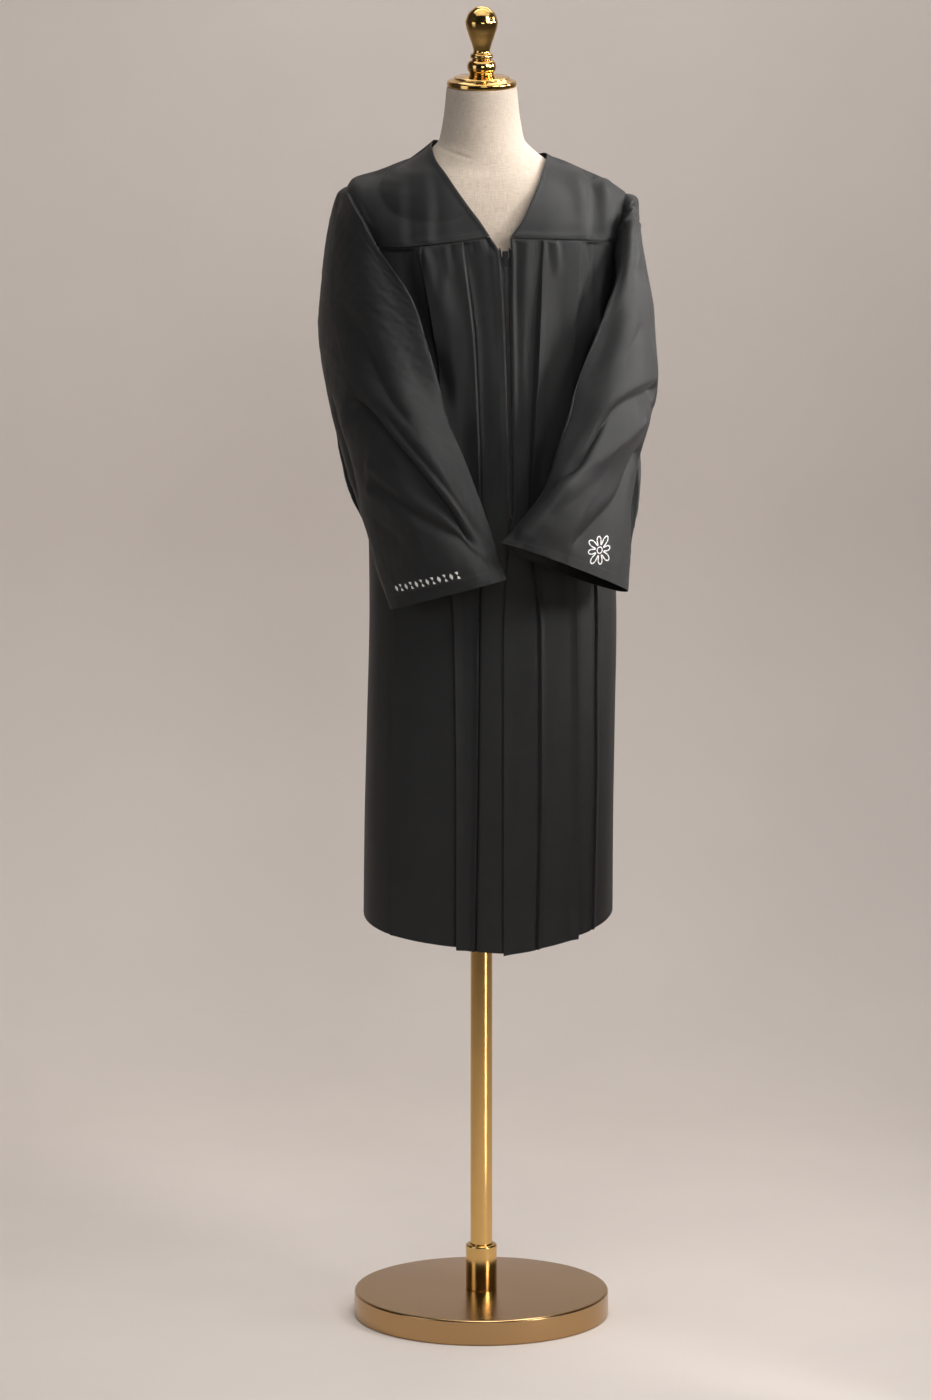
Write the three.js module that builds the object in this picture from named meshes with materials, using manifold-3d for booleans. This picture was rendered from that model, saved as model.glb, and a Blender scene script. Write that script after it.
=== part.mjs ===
// Graduation gown on a limbless dress form.
//
// Millimetres, +Z up. The origin is the centre of the underside of the stand's base; the gown faces -Y.
// Left and right in the names are the wearer's: the wearer's right side is -X.
import * as THREE from 'three';
import Module from 'manifold-3d';

const wasm = await Module();
wasm.setup();

// ---------------------------------------------------------------- driving sizes (mm)
const WALL = 1.6;          // thickness of the gown's cloth
const SEAM_GAP = 0.3;      // clear space left at every seam
const TAPE_WALL = 1.0;     // thickness of the zip's woven tapes
const FULLNESS = 2.45;     // exponent of the body's rounded-oval section (2 is an ellipse)
const AROUND = 32;         // points round a sleeve, and so round an armhole
const YOKE_STEPS = 6;      // how many of those points the yoke takes from the shoulder down
const PIT_STEP = 16;       // the point at the bottom of the armhole

const BASE_R = 192.5, BASE_H = 39.5, BASE_EDGE = 2;
const COLLAR_R = 23.5, COLLAR_TOP = 110;
const POLE_R = 16.5;
const FORM_BOTTOM = 1010, FORM_TOP = 1876.4;

// the gown's body as a tube: half width and front and back half depths at each height
const BODY = [
  { z: 560,  cx: 9.5,  half: 188, front: 138, back: 132 },
  { z: 760,  cx: 11,   half: 187, front: 136, back: 131 },
  { z: 920,  cx: 14,   half: 186, front: 134, back: 129 },
  { z: 1080, cx: 17,   half: 185, front: 132, back: 127 },
  { z: 1250, cx: 13,   half: 183, front: 128, back: 123 },
  { z: 1400, cx: 9,    half: 185, front: 124, back: 118 },
  { z: 1500, cx: 7,    half: 188, front: 121, back: 112 },
  { z: 1600, cx: 7,    half: 194, front: 116, back: 104 },
  { z: 1650, cx: 7,    half: 199, front: 112, back: 97 },
  { z: 1690, cx: 7,    half: 204, front: 106, back: 91 },
  { z: 1724, cx: 7,    half: 206, front: 98,  back: 86 },
  { z: 1760, cx: 7,    half: 206, front: 90,  back: 80 },
];

// the dress form inside it
const FORM = [
  { z: 1010,   half: 96,  front: 60,  back: 54 },
  { z: 1013,   half: 118, front: 76,  back: 70 },
  { z: 1022,   half: 134, front: 92,  back: 84 },
  { z: 1045,   half: 148, front: 104, back: 94 },
  { z: 1085,   half: 153, front: 109, back: 99 },
  { z: 1160,   half: 152, front: 107, back: 98 },
  { z: 1240,   half: 147, front: 100, back: 92 },
  { z: 1330,   half: 145, front: 94,  back: 86 },
  { z: 1400,   half: 149, front: 97,  back: 88 },
  { z: 1500,   half: 162, front: 103, back: 94 },
  { z: 1600,   half: 173, front: 104, back: 95 },
  { z: 1660,   half: 178, front: 101, back: 90 },
  { z: 1700,   half: 177, front: 94,  back: 83 },
  { z: 1722,   half: 169, front: 88,  back: 78 },
  { z: 1737,   half: 152, front: 82,  back: 67 },
  { z: 1750,   half: 129, front: 76,  back: 63 },
  { z: 1762,   half: 105, front: 69,  back: 60 },
  { z: 1771,   half: 91,  front: 65, back: 58.5 },
  { z: 1784,   half: 75,  front: 61, back: 58.5 },
  { z: 1797,   half: 63.5, front: 58.5, back: 58.5 },
  { z: 1814,   half: 59.5, front: 56, back: 57 },
  { z: 1840,   half: 55.5, front: 53, back: 54 },
  { z: 1876.4, half: 52,  front: 51,  back: 51 },
];
const FORM_FULLNESS = [
  { z: 1010, n: 2.3 }, { z: 1700, n: 2.3 }, { z: 1760, n: 2.1 }, { z: 1800, n: 2.0 }, { z: 1876.4, n: 2.0 },
];

// armholes: top and bottom heights, and how far they reach forwards and back of the shoulder seam
const ARMHOLE = {
  right: { side: -1, top: 1729, bottom: 1464, front: 84, back: 82 },
  left:  { side: 1,  top: 1719, bottom: 1459, front: 44, back: 82 },
};

// shoulder seams from the armhole to the neck
const SHOULDER = {
  right: [
    { t: 0, x: -199, z: 1729 }, { t: 0.1, x: -192, z: 1739 }, { t: 0.35, x: -152, z: 1752.5 },
    { t: 0.6, x: -118, z: 1766 }, { t: 0.8, x: -96, z: 1774 }, { t: 1, x: -70, z: 1793 },
  ],
  left: [
    { t: 0, x: 213, z: 1719 }, { t: 0.2, x: 187, z: 1737 }, { t: 0.5, x: 152, z: 1753 },
    { t: 0.8, x: 118, z: 1768 }, { t: 1, x: 97, z: 1775 },
  ],
};

// edges of the V neck on the yoke, from the yoke seam up to the shoulder seam
const NECKLINE = {
  right: [
    { t: 0, x: 12, y: -113, z: 1669 }, { t: 0.2, x: -3, y: -107, z: 1691 }, { t: 0.4, x: -19, y: -98, z: 1711 },
    { t: 0.6, x: -46, y: -76, z: 1746 }, { t: 0.8, x: -64, y: -42, z: 1770 }, { t: 1, x: -70, y: 0, z: 1793 },
  ],
  left: [
    { t: 0, x: 41.5, y: -113, z: 1667 }, { t: 0.2, x: 59, y: -107, z: 1691 }, { t: 0.4, x: 72, y: -96, z: 1717 },
    { t: 0.6, x: 84, y: -76, z: 1743 }, { t: 0.8, x: 92.5, y: -42, z: 1766 }, { t: 1, x: 97, y: 0, z: 1775 },
  ],
};
// the round back neck, from the wearer's right shoulder seam to the left one
const BACK_NECK = [
  { t: 0, x: -70, y: 0, z: 1793 }, { t: 0.17, x: -62, y: 38, z: 1790 }, { t: 0.34, x: -35, y: 66, z: 1783 },
  { t: 0.52, x: 10, y: 76, z: 1780 }, { t: 0.68, x: 52, y: 68, z: 1771 }, { t: 0.84, x: 82, y: 40, z: 1770 },
  { t: 1, x: 97, y: 0, z: 1775 },
];

// the two folded edges at the centre front
const FRONT_EDGE = [
  { z: 570,  right: 33.7, left: 34.2 },
  { z: 1072, right: 33.7, left: 34.2 },
  { z: 1162, right: 38.1, left: 38.8 },
  { z: 1234, right: 43.1, left: 44.1 },
  { z: 1262, right: 41.6, left: 46.2 },
  { z: 1378, right: 39.0, left: 45.0 },
  { z: 1484, right: 35.5, left: 44.0 },
  { z: 1573, right: 31.5, left: 43.2 },
  { z: 1612, right: 29.0, left: 43.5 },
  { z: 1646, right: 25.5, left: 43.0 },
  { z: 1669, right: 12.0, left: 41.5 },
];
const YOKE_SEAM = { right: { centre: 1669, shape: 1.2 }, left: { centre: 1667, shape: 0.22 }, back: 1658 };
const HEM = {
  right: { side: 629, shape: 0.42 },
  left:  { side: 633, shape: 0.6 },
  front: 595, back: 614,
};

// vertical pleats by their place across the front (x) at six heights; drop is the side the fold falls away to
const FRONT_PLEATS = [
  { name: 'side_right',   panel: 'right', yoke: -128, chest: -122, waist: -128, hip: -132, thigh: -134, hem: -136, lift: 3.5, run: 34, step: 12, drop: -1 },
  { name: 'bust_right',   panel: 'right', yoke: -88,  chest: -66,  waist: -52,  hip: -40,  thigh: -37,  hem: -37,  lift: 5,   run: 30, step: 10, drop: -1 },
  { name: 'sharp_right',  panel: 'right', yoke: -29,  chest: -11,  waist: -3,   hip: -5,   thigh: -7,   hem: -11,  lift: 6,   run: 26, step: 8,  drop: 1 },
  { name: 'sharp_left',   panel: 'left',  yoke: 90,   chest: 82,   waist: 72,   hip: 87,   thigh: 88,   hem: 84,   lift: 6,   run: 28, step: 8,  drop: -1 },
  { name: 'bust_left',    panel: 'left',  yoke: 144,  chest: 134,  waist: 128,  hip: 140,  thigh: 142,  hem: 142,  lift: 6,   run: 26, step: 9,  drop: 1 },
  { name: 'side_left',    panel: 'left',  yoke: 172,  chest: 165,  waist: 165,  hip: 171,  thigh: 170,  hem: 166,  lift: 4,   run: 20, step: 8,  drop: -1 },
];
const BACK_PLEATS = [
  { name: 'back_1', panel: 'back', yoke: -118, chest: -122, waist: -126, hip: -130, thigh: -132, hem: -134, lift: 5, run: 30, step: 10, drop: 1 },
  { name: 'back_2', panel: 'back', yoke: -66,  chest: -70,  waist: -74,  hip: -76,  thigh: -80,  hem: -84,  lift: 6, run: 34, step: 9,  drop: 1 },
  { name: 'back_3', panel: 'back', yoke: -22,  chest: -22,  waist: -24,  hip: -25,  thigh: -26,  hem: -28,  lift: 7, run: 30, step: 9,  drop: 1 },
  { name: 'back_4', panel: 'back', yoke: 38,   chest: 38,   waist: 42,   hip: 45,   thigh: 44,   hem: 46,   lift: 7, run: 30, step: 9,  drop: -1 },
  { name: 'back_5', panel: 'back', yoke: 84,   chest: 86,   waist: 90,   hip: 97,   thigh: 98,   hem: 101,  lift: 6, run: 32, step: 9,  drop: -1 },
  { name: 'back_6', panel: 'back', yoke: 132,  chest: 134,  waist: 140,  hip: 148,  thigh: 150,  hem: 152,  lift: 5, run: 26, step: 10, drop: -1 },
];
const PLEAT_HEIGHTS = { hem: 600, thigh: 850, hip: 1080, waist: 1250, chest: 1500, yoke: 1650 };

// sleeves: rings from the cap to the hem. crown is the outer or upper side, fore the front edge, under the side
// next to the body, rear the back edge, which becomes the bell's low corner
const SLEEVE = {
  right: [
    { s: 0.06, crown: [-213, -3, 1729],  fore: [-146, -104, 1615], under: [-188, 0, 1456],    rear: [-186, 98, 1607] },
    { s: 0.16, crown: [-216, -24, 1678], fore: [-128, -120, 1595], under: [-186, -4, 1439],   rear: [-194, 106, 1582] },
    { s: 0.28, crown: [-221, -45, 1607], fore: [-112, -130, 1563], under: [-180, -12, 1422],  rear: [-202, 104, 1546] },
    { s: 0.40, crown: [-220, -62, 1548], fore: [-88, -138, 1516],  under: [-172, -25, 1410],  rear: [-208, 95, 1494] },
    { s: 0.52, crown: [-205, -85, 1479], fore: [-66, -150, 1457],  under: [-160, -45, 1380],  rear: [-212, 76, 1429] },
    { s: 0.64, crown: [-182, -128, 1412], fore: [-45, -164, 1402], under: [-140, -75, 1341],  rear: [-208, 45, 1360] },
    { s: 0.76, crown: [-140, -170, 1345], fore: [-17, -182, 1341], under: [-105, -105, 1286], rear: [-203, 5, 1296] },
    { s: 0.88, crown: [-95, -205, 1249], fore: [11, -195, 1261],   under: [-75, -125, 1212],  rear: [-176, -70, 1217] },
    { s: 1.00, crown: [-48, -222, 1152], fore: [37, -205, 1172],   under: [-48, -152, 1147],  rear: [-134, -150, 1117] },
  ],
  left: [
    { s: 0.06, crown: [227, -4, 1715],   fore: [196, -66, 1619],   under: [206, 0, 1454],     rear: [200, 98, 1607] },
    { s: 0.16, crown: [233, -14, 1674],  fore: [189, -93, 1597],  under: [204, -4, 1439],    rear: [207, 106, 1579] },
    { s: 0.28, crown: [243, -34, 1607],  fore: [176, -116, 1563],  under: [200, -12, 1420],   rear: [214, 104, 1543] },
    { s: 0.40, crown: [251, -55, 1543],  fore: [160, -130, 1518],  under: [194, -25, 1402],   rear: [221, 95, 1489] },
    { s: 0.52, crown: [249, -80, 1477],  fore: [141, -141, 1461],  under: [180, -45, 1372],   rear: [228, 76, 1425] },
    { s: 0.64, crown: [235, -115, 1410], fore: [122, -153, 1398],  under: [165, -75, 1336],   rear: [231, 45, 1360] },
    { s: 0.76, crown: [187, -165, 1333], fore: [97, -172, 1315],   under: [150, -105, 1273],  rear: [233, 5, 1296] },
    { s: 0.88, crown: [150, -200, 1261], fore: [60, -192, 1261],   under: [135, -130, 1222],  rear: [226, -60, 1217] },
    { s: 1.00, crown: [121, -215, 1198], fore: [27, -205, 1227],   under: [116, -150, 1172],  rear: [217, -120, 1139] },
  ],
};
const SLEEVE_RINGS = { right: 15, left: 15 };
// the sleeves' largest folds: each runs through four points given by place down the sleeve (s) and angle round it
// (a, degrees from the crown towards the front edge); depth is inwards when negative, width is to where it has faded
const SLEEVE_FOLDS = [
  { sleeve: 'right', name: 'upper',  s0: 0.36, a0: 8,   s1: 0.53, a1: 27,  s2: 0.68, a2: 45, s3: 0.88, a3: 64, depth: -13, width: 30 },
  { sleeve: 'right', name: 'deep',   s0: 0.60, a0: -6,  s1: 0.70, a1: 8,   s2: 0.81, a2: 20, s3: 0.95, a3: 58, depth: -22, width: 30 },
  { sleeve: 'right', name: 'ridge',  s0: 0.76, a0: -24, s1: 0.82, a1: -2,  s2: 0.87, a2: 22, s3: 0.95, a3: 52, depth: 7,   width: 24 },
  { sleeve: 'right', name: 'lower',  s0: 0.84, a0: -34, s1: 0.88, a1: 0,   s2: 0.92, a2: 30, s3: 0.98, a3: 60, depth: -7,  width: 22 },
  { sleeve: 'right', name: 'rear_1', s0: 0.40, a0: 214, s1: 0.56, a1: 226, s2: 0.72, a2: 240, s3: 0.90, a3: 250, depth: -12, width: 34 },
  { sleeve: 'right', name: 'rear_2', s0: 0.55, a0: 300, s1: 0.66, a1: 294, s2: 0.78, a2: 286, s3: 0.92, a3: 280, depth: -9, width: 30 },
  { sleeve: 'left', name: 'elbow',   s0: 0.58, a0: -22, s1: 0.625, a1: 18, s2: 0.68, a2: 44, s3: 0.78, a3: 62, depth: -20, width: 28 },
  { sleeve: 'left', name: 'flap',    s0: 0.67, a0: -12, s1: 0.74, a1: 18,  s2: 0.80, a2: 50, s3: 0.96, a3: 68, depth: 8,   width: 26 },
  { sleeve: 'left', name: 'lower',   s0: 0.72, a0: -26, s1: 0.81, a1: -20, s2: 0.88, a2: -10, s3: 0.96, a3: 4, depth: -10, width: 26 },
  { sleeve: 'left', name: 'rear_1',  s0: 0.42, a0: 222, s1: 0.58, a1: 232, s2: 0.74, a2: 246, s3: 0.90, a3: 256, depth: -12, width: 34 },
  { sleeve: 'left', name: 'rear_2',  s0: 0.56, a0: 270, s1: 0.68, a1: 268, s2: 0.80, a2: 264, s3: 0.93, a3: 260, depth: -8, width: 28 },
];

// the zip
const ZIP = { top: 1649, bottom: 1252, chain: 4.6, chainDeep: 2.0, tape: 12, stop: 2.6 };
const SLIDER = { top: 1647.6, width: 8.6, tall: 11, deep: 3.2, arch: 1.7, archReach: 2.6 };
const TAB = { wide: 5.4, long: 19, thick: 1.2, eyeWide: 2.6, eyeTall: 3.4, bar: 1.5 };

// neck cap and finial, as turned profiles: radius and height
const CAP = [
  { r: 0, z: 1876.8 }, { r: 50, z: 1876.8 }, { r: 51.8, z: 1878.3 }, { r: 51.8, z: 1883.5 }, { r: 50.2, z: 1886 },
  { r: 46.5, z: 1887 }, { r: 41.6, z: 1889.5 }, { r: 41.6, z: 1890.6 }, { r: 40.6, z: 1891.5 }, { r: 38, z: 1892.2 },
  { r: 24, z: 1894 }, { r: 18.4, z: 1896 }, { r: 0, z: 1896 },
];
const FINIAL = [
  { r: 0, z: 1896.3 }, { r: 17.8, z: 1896.3 }, { r: 18.4, z: 1898.5 }, { r: 20.9, z: 1902 }, { r: 21.7, z: 1907 },
  { r: 20.6, z: 1912 }, { r: 17.4, z: 1916 }, { r: 14.3, z: 1917.3 }, { r: 14.3, z: 1918.6 }, { r: 16.6, z: 1920 },
  { r: 17.1, z: 1922.5 }, { r: 16.2, z: 1924.8 }, { r: 13, z: 1927.5 }, { r: 12.3, z: 1930 }, { r: 13.6, z: 1936 },
  { r: 19.6, z: 1954 }, { r: 23.6, z: 1967.5 }, { r: 24.4, z: 1973.5 }, { r: 23.5, z: 1976.8 }, { r: 22.6, z: 1977.4 },
  { r: 20.2, z: 1984 }, { r: 15.6, z: 1990.8 }, { r: 8.5, z: 1995.6 }, { r: 0, z: 1997 },
];

// ---------------------------------------------------------------- materials
const CLOTH = { color: 0x1d1d1f, roughness: 0.55, metalness: 0 };
const LINEN = { color: 0xdcc8b4, roughness: 0.95, metalness: 0 };
const BRASS = { color: 0xb08a4c, roughness: 0.22, metalness: 1 };
const BRUSHED = { color: 0xa5835a, roughness: 0.38, metalness: 1 };
const ZIP_METAL = { color: 0x2a2a2c, roughness: 0.35, metalness: 0.8 };
const STOP_METAL = { color: 0xd8d8da, roughness: 0.25, metalness: 1 };

const group = new THREE.Group();
function add(name, geometry, look) {
  const mesh = new THREE.Mesh(geometry, new THREE.MeshStandardMaterial(look));
  mesh.name = name;
  group.add(mesh);
  return mesh;
}

// ---------------------------------------------------------------- small tools
// a smooth curve through one column of a table, with no overshoot between rows
function curve(rows, key, pick) {
  const xs = rows.map((r) => r[key]);
  const ys = rows.map(pick);
  const n = xs.length;
  const d = [];
  for (let i = 0; i < n - 1; i++) d.push((ys[i + 1] - ys[i]) / (xs[i + 1] - xs[i]));
  const m = ys.map((_, i) => {
    if (i === 0) return d[0];
    if (i === n - 1) return d[n - 2];
    if (d[i - 1] * d[i] <= 0) return 0;
    const h0 = xs[i] - xs[i - 1], h1 = xs[i + 1] - xs[i];
    const w0 = 2 * h1 + h0, w1 = h1 + 2 * h0;
    return (w0 + w1) / (w0 / d[i - 1] + w1 / d[i]);
  });
  return (at) => {
    if (at <= xs[0]) return ys[0];
    if (at >= xs[n - 1]) return ys[n - 1];
    let i = 0;
    while (xs[i + 1] < at) i++;
    const h = xs[i + 1] - xs[i], t = (at - xs[i]) / h, t2 = t * t, t3 = t2 * t;
    return ys[i] * (2 * t3 - 3 * t2 + 1) + h * m[i] * (t3 - 2 * t2 + t) + ys[i + 1] * (3 * t2 - 2 * t3) + h * m[i + 1] * (t3 - t2);
  };
}
const column = (rows, key, name) => curve(rows, key, (r) => r[name]);
const pointCurve = (rows, key, name) => {
  const parts = [0, 1, 2].map((k) => curve(rows, key, (r) => r[name][k]));
  return (at) => parts.map((f) => f(at));
};
const xyzCurve = (rows) => {
  const parts = ['x', 'y', 'z'].map((k) => column(rows, 't', k));
  return (at) => parts.map((f) => f(at));
};
const lerp = (a, b, t) => a + (b - a) * t;
const clamp = (v, lo, hi) => Math.min(hi, Math.max(lo, v));
const ease = (t) => { const c = clamp(t, 0, 1); return c * c * (3 - 2 * c); };
const plus = (a, b, k = 1) => [a[0] + b[0] * k, a[1] + b[1] * k, a[2] + b[2] * k];
const minus = (a, b) => [a[0] - b[0], a[1] - b[1], a[2] - b[2]];
const length = (a) => Math.hypot(a[0], a[1], a[2]);
const unit = (a) => { const l = length(a) || 1; return [a[0] / l, a[1] / l, a[2] / l]; };
const cross = (a, b) => [a[1] * b[2] - a[2] * b[1], a[2] * b[0] - a[0] * b[2], a[0] * b[1] - a[1] * b[0]];

function meshOf(points, faces) {
  let six = 0;
  for (const [a, b, c] of faces) {
    const p = points[a], q = points[b], r = points[c];
    const n = cross(q, r);
    six += p[0] * n[0] + p[1] * n[1] + p[2] * n[2];
  }
  const index = [];
  for (const [a, b, c] of faces) index.push(...(six < 0 ? [a, c, b] : [a, b, c]));
  const geometry = new THREE.BufferGeometry();
  geometry.setAttribute('position', new THREE.Float32BufferAttribute(points.flat(), 3));
  geometry.setIndex(index);
  geometry.computeVertexNormals();
  return geometry;
}

// outward normals of a grid of points; wrap says that its columns close into a ring
function gridNormals(grid, wrap) {
  const rows = grid.length, cols = grid[0].length;
  return grid.map((row, i) => row.map((_, j) => {
    const up = grid[Math.min(i + 1, rows - 1)][j], down = grid[Math.max(i - 1, 0)][j];
    const ahead = grid[i][wrap ? (j + 1) % cols : Math.min(j + 1, cols - 1)];
    const behind = grid[i][wrap ? (j + cols - 1) % cols : Math.max(j - 1, 0)];
    return unit(cross(minus(ahead, behind), minus(up, down)));
  }));
}

// a thin wall behind a grid of outer points: its inner points are the outer ones moved in by the thickness
function wallOf(grid, wrap, thick, flip = 1, hold = null) {
  const rows = grid.length, cols = grid[0].length;
  const normals = gridNormals(grid, wrap);
  const points = [];
  for (const row of grid) for (const p of row) points.push(p);
  for (let i = 0; i < rows; i++) {
    for (let j = 0; j < cols; j++) {
      const inner = plus(grid[i][j], normals[i][j], -thick * flip);
      points.push(hold ? hold(i, j, grid[i][j], inner) : inner);
    }
  }
  const at = (i, j, k) => k * rows * cols + i * cols + (j % cols);
  const faces = [];
  const quad = (a, b, c, d) => { faces.push([a, b, c], [a, c, d]); };
  const last = wrap ? cols : cols - 1;
  for (let i = 0; i < rows - 1; i++) {
    for (let j = 0; j < last; j++) {
      quad(at(i, j, 0), at(i, j + 1, 0), at(i + 1, j + 1, 0), at(i + 1, j, 0));
      quad(at(i, j, 1), at(i + 1, j, 1), at(i + 1, j + 1, 1), at(i, j + 1, 1));
    }
  }
  for (let j = 0; j < last; j++) {
    quad(at(0, j, 0), at(0, j, 1), at(0, j + 1, 1), at(0, j + 1, 0));
    quad(at(rows - 1, j, 0), at(rows - 1, j + 1, 0), at(rows - 1, j + 1, 1), at(rows - 1, j, 1));
  }
  if (!wrap) {
    for (let i = 0; i < rows - 1; i++) {
      quad(at(i, 0, 0), at(i + 1, 0, 0), at(i + 1, 0, 1), at(i, 0, 1));
      quad(at(i, cols - 1, 0), at(i, cols - 1, 1), at(i + 1, cols - 1, 1), at(i + 1, cols - 1, 0));
    }
  }
  return meshOf(points, faces);
}

// ---------------------------------------------------------------- the body's surface
const bodyAt = { cx: column(BODY, 'z', 'cx'), half: column(BODY, 'z', 'half'), front: column(BODY, 'z', 'front'), back: column(BODY, 'z', 'back') };
const formAt = { half: column(FORM, 'z', 'half'), front: column(FORM, 'z', 'front'), back: column(FORM, 'z', 'back'), n: column(FORM_FULLNESS, 'z', 'n') };

// how far out a point is, as a share of the oval's size at its height: 1 is on the surface
function bodyShare([x, y, z]) {
  const b = y < 0 ? bodyAt.front(z) : bodyAt.back(z);
  return (Math.abs((x - bodyAt.cx(z)) / bodyAt.half(z)) ** FULLNESS + Math.abs(y / b) ** FULLNESS) ** (1 / FULLNESS);
}
function formShare([x, y, z]) {
  const b = y < 0 ? formAt.front(z) : formAt.back(z), n = formAt.n(z);
  return (Math.abs(x / formAt.half(z)) ** n + Math.abs(y / b) ** n) ** (1 / n);
}
// moves a point out until it is at least `away` from that surface
function keepOff(p, share, away) {
  let q = p;
  for (let k = 0; k < 6; k++) {
    const f = share(q), e = 0.5;
    const g = [0, 1, 2].map((i) => {
      const a = [...q], b = [...q];
      a[i] += e; b[i] -= e;
      return (share(a) - share(b)) / (2 * e);
    });
    const steep = Math.hypot(...g);
    const d = (f - 1) / steep;
    if (d >= away - 0.01) break;
    q = plus(q, g, (away - d) / steep);
  }
  return q;
}

// a point of the tube in the direction phi: 0 is the front, positive towards +X, 180 the back
function bodyPoint(phi, z, lift = 0) {
  const s = Math.sin(phi), c = Math.cos(phi);
  const b = c > 0 ? bodyAt.front(z) : bodyAt.back(z);
  const r = (Math.abs(s / bodyAt.half(z)) ** FULLNESS + Math.abs(c / b) ** FULLNESS) ** (-1 / FULLNESS) + lift;
  return [bodyAt.cx(z) + r * s, -r * c, z];
}
// the direction that meets a given x, on the front or the back
function phiAtX(x, z, back = false) {
  let lo = -Math.PI / 2, hi = Math.PI / 2;
  for (let k = 0; k < 40; k++) {
    const mid = (lo + hi) / 2;
    if (bodyPoint(back ? Math.PI - mid : mid, z)[0] < x) lo = mid; else hi = mid;
  }
  return back ? Math.PI - (lo + hi) / 2 : (lo + hi) / 2;
}
function phiAtY(y, z, side) {
  let lo = 0, hi = Math.PI;
  for (let k = 0; k < 40; k++) {
    const mid = (lo + hi) / 2;
    if (bodyPoint(mid, z)[1] < y) lo = mid; else hi = mid;
  }
  return (side * (lo + hi)) / 2;
}

// ---------------------------------------------------------------- armholes
// point k of an armhole: 0 is at the shoulder, then down the front to the pit and up the back;
// inset makes the ring smaller, lift moves it out of the body's surface
function armholePoint(which, k, inset = 0, lift = 0) {
  const a = ARMHOLE[which], angle = (2 * Math.PI * k) / AROUND;
  const zc = (a.top + a.bottom) / 2, r = (a.top - a.bottom) / 2 - inset;
  const y = -(Math.sin(angle) > 0 ? a.front - inset : a.back - inset) * Math.sin(angle);
  const z = zc + r * Math.cos(angle);
  const p = bodyPoint(phiAtY(y, z, a.side), z, lift);
  return [p[0], p[1], z];
}
const armholePhi = (which, k) => {
  const p = armholePoint(which, k);
  return phiAtY(p[1], p[2], ARMHOLE[which].side);
};

// ---------------------------------------------------------------- pleats
const pleatX = {};
for (const row of [...FRONT_PLEATS, ...BACK_PLEATS]) {
  const rows = Object.entries(PLEAT_HEIGHTS).map(([name, z]) => ({ z, x: row[name] })).sort((a, b) => a.z - b.z);
  pleatX[row.name] = column(rows, 'z', 'x');
}
function pleatLift(panel, x, z) {
  const rows = panel === 'back' ? BACK_PLEATS : FRONT_PLEATS;
  const grow = 0.12 + 0.88 * ease((1655 - z) / 190);
  let sum = 0;
  for (const row of rows) {
    if (row.panel !== panel) continue;
    const t = (x - pleatX[row.name](z)) * row.drop;
    if (t <= 0) sum += row.lift * Math.max(0, 1 + t / row.run) ** 1.5;
    else if (t < row.step) sum += row.lift * (1 - 1.35 * ease(t / row.step));
    else sum -= 0.35 * row.lift * Math.max(0, 1 - (t - row.step) / row.run) ** 2;
  }
  return sum * grow;
}

// ---------------------------------------------------------------- long panels
// heights of the rows: the hem, then up to the pit, then level with the armhole's points up to the yoke
const LOW_ROWS = [0, 0.09, 0.22, 0.36, 0.5, 0.62, 0.73, 0.83, 0.92, 1];

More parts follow.
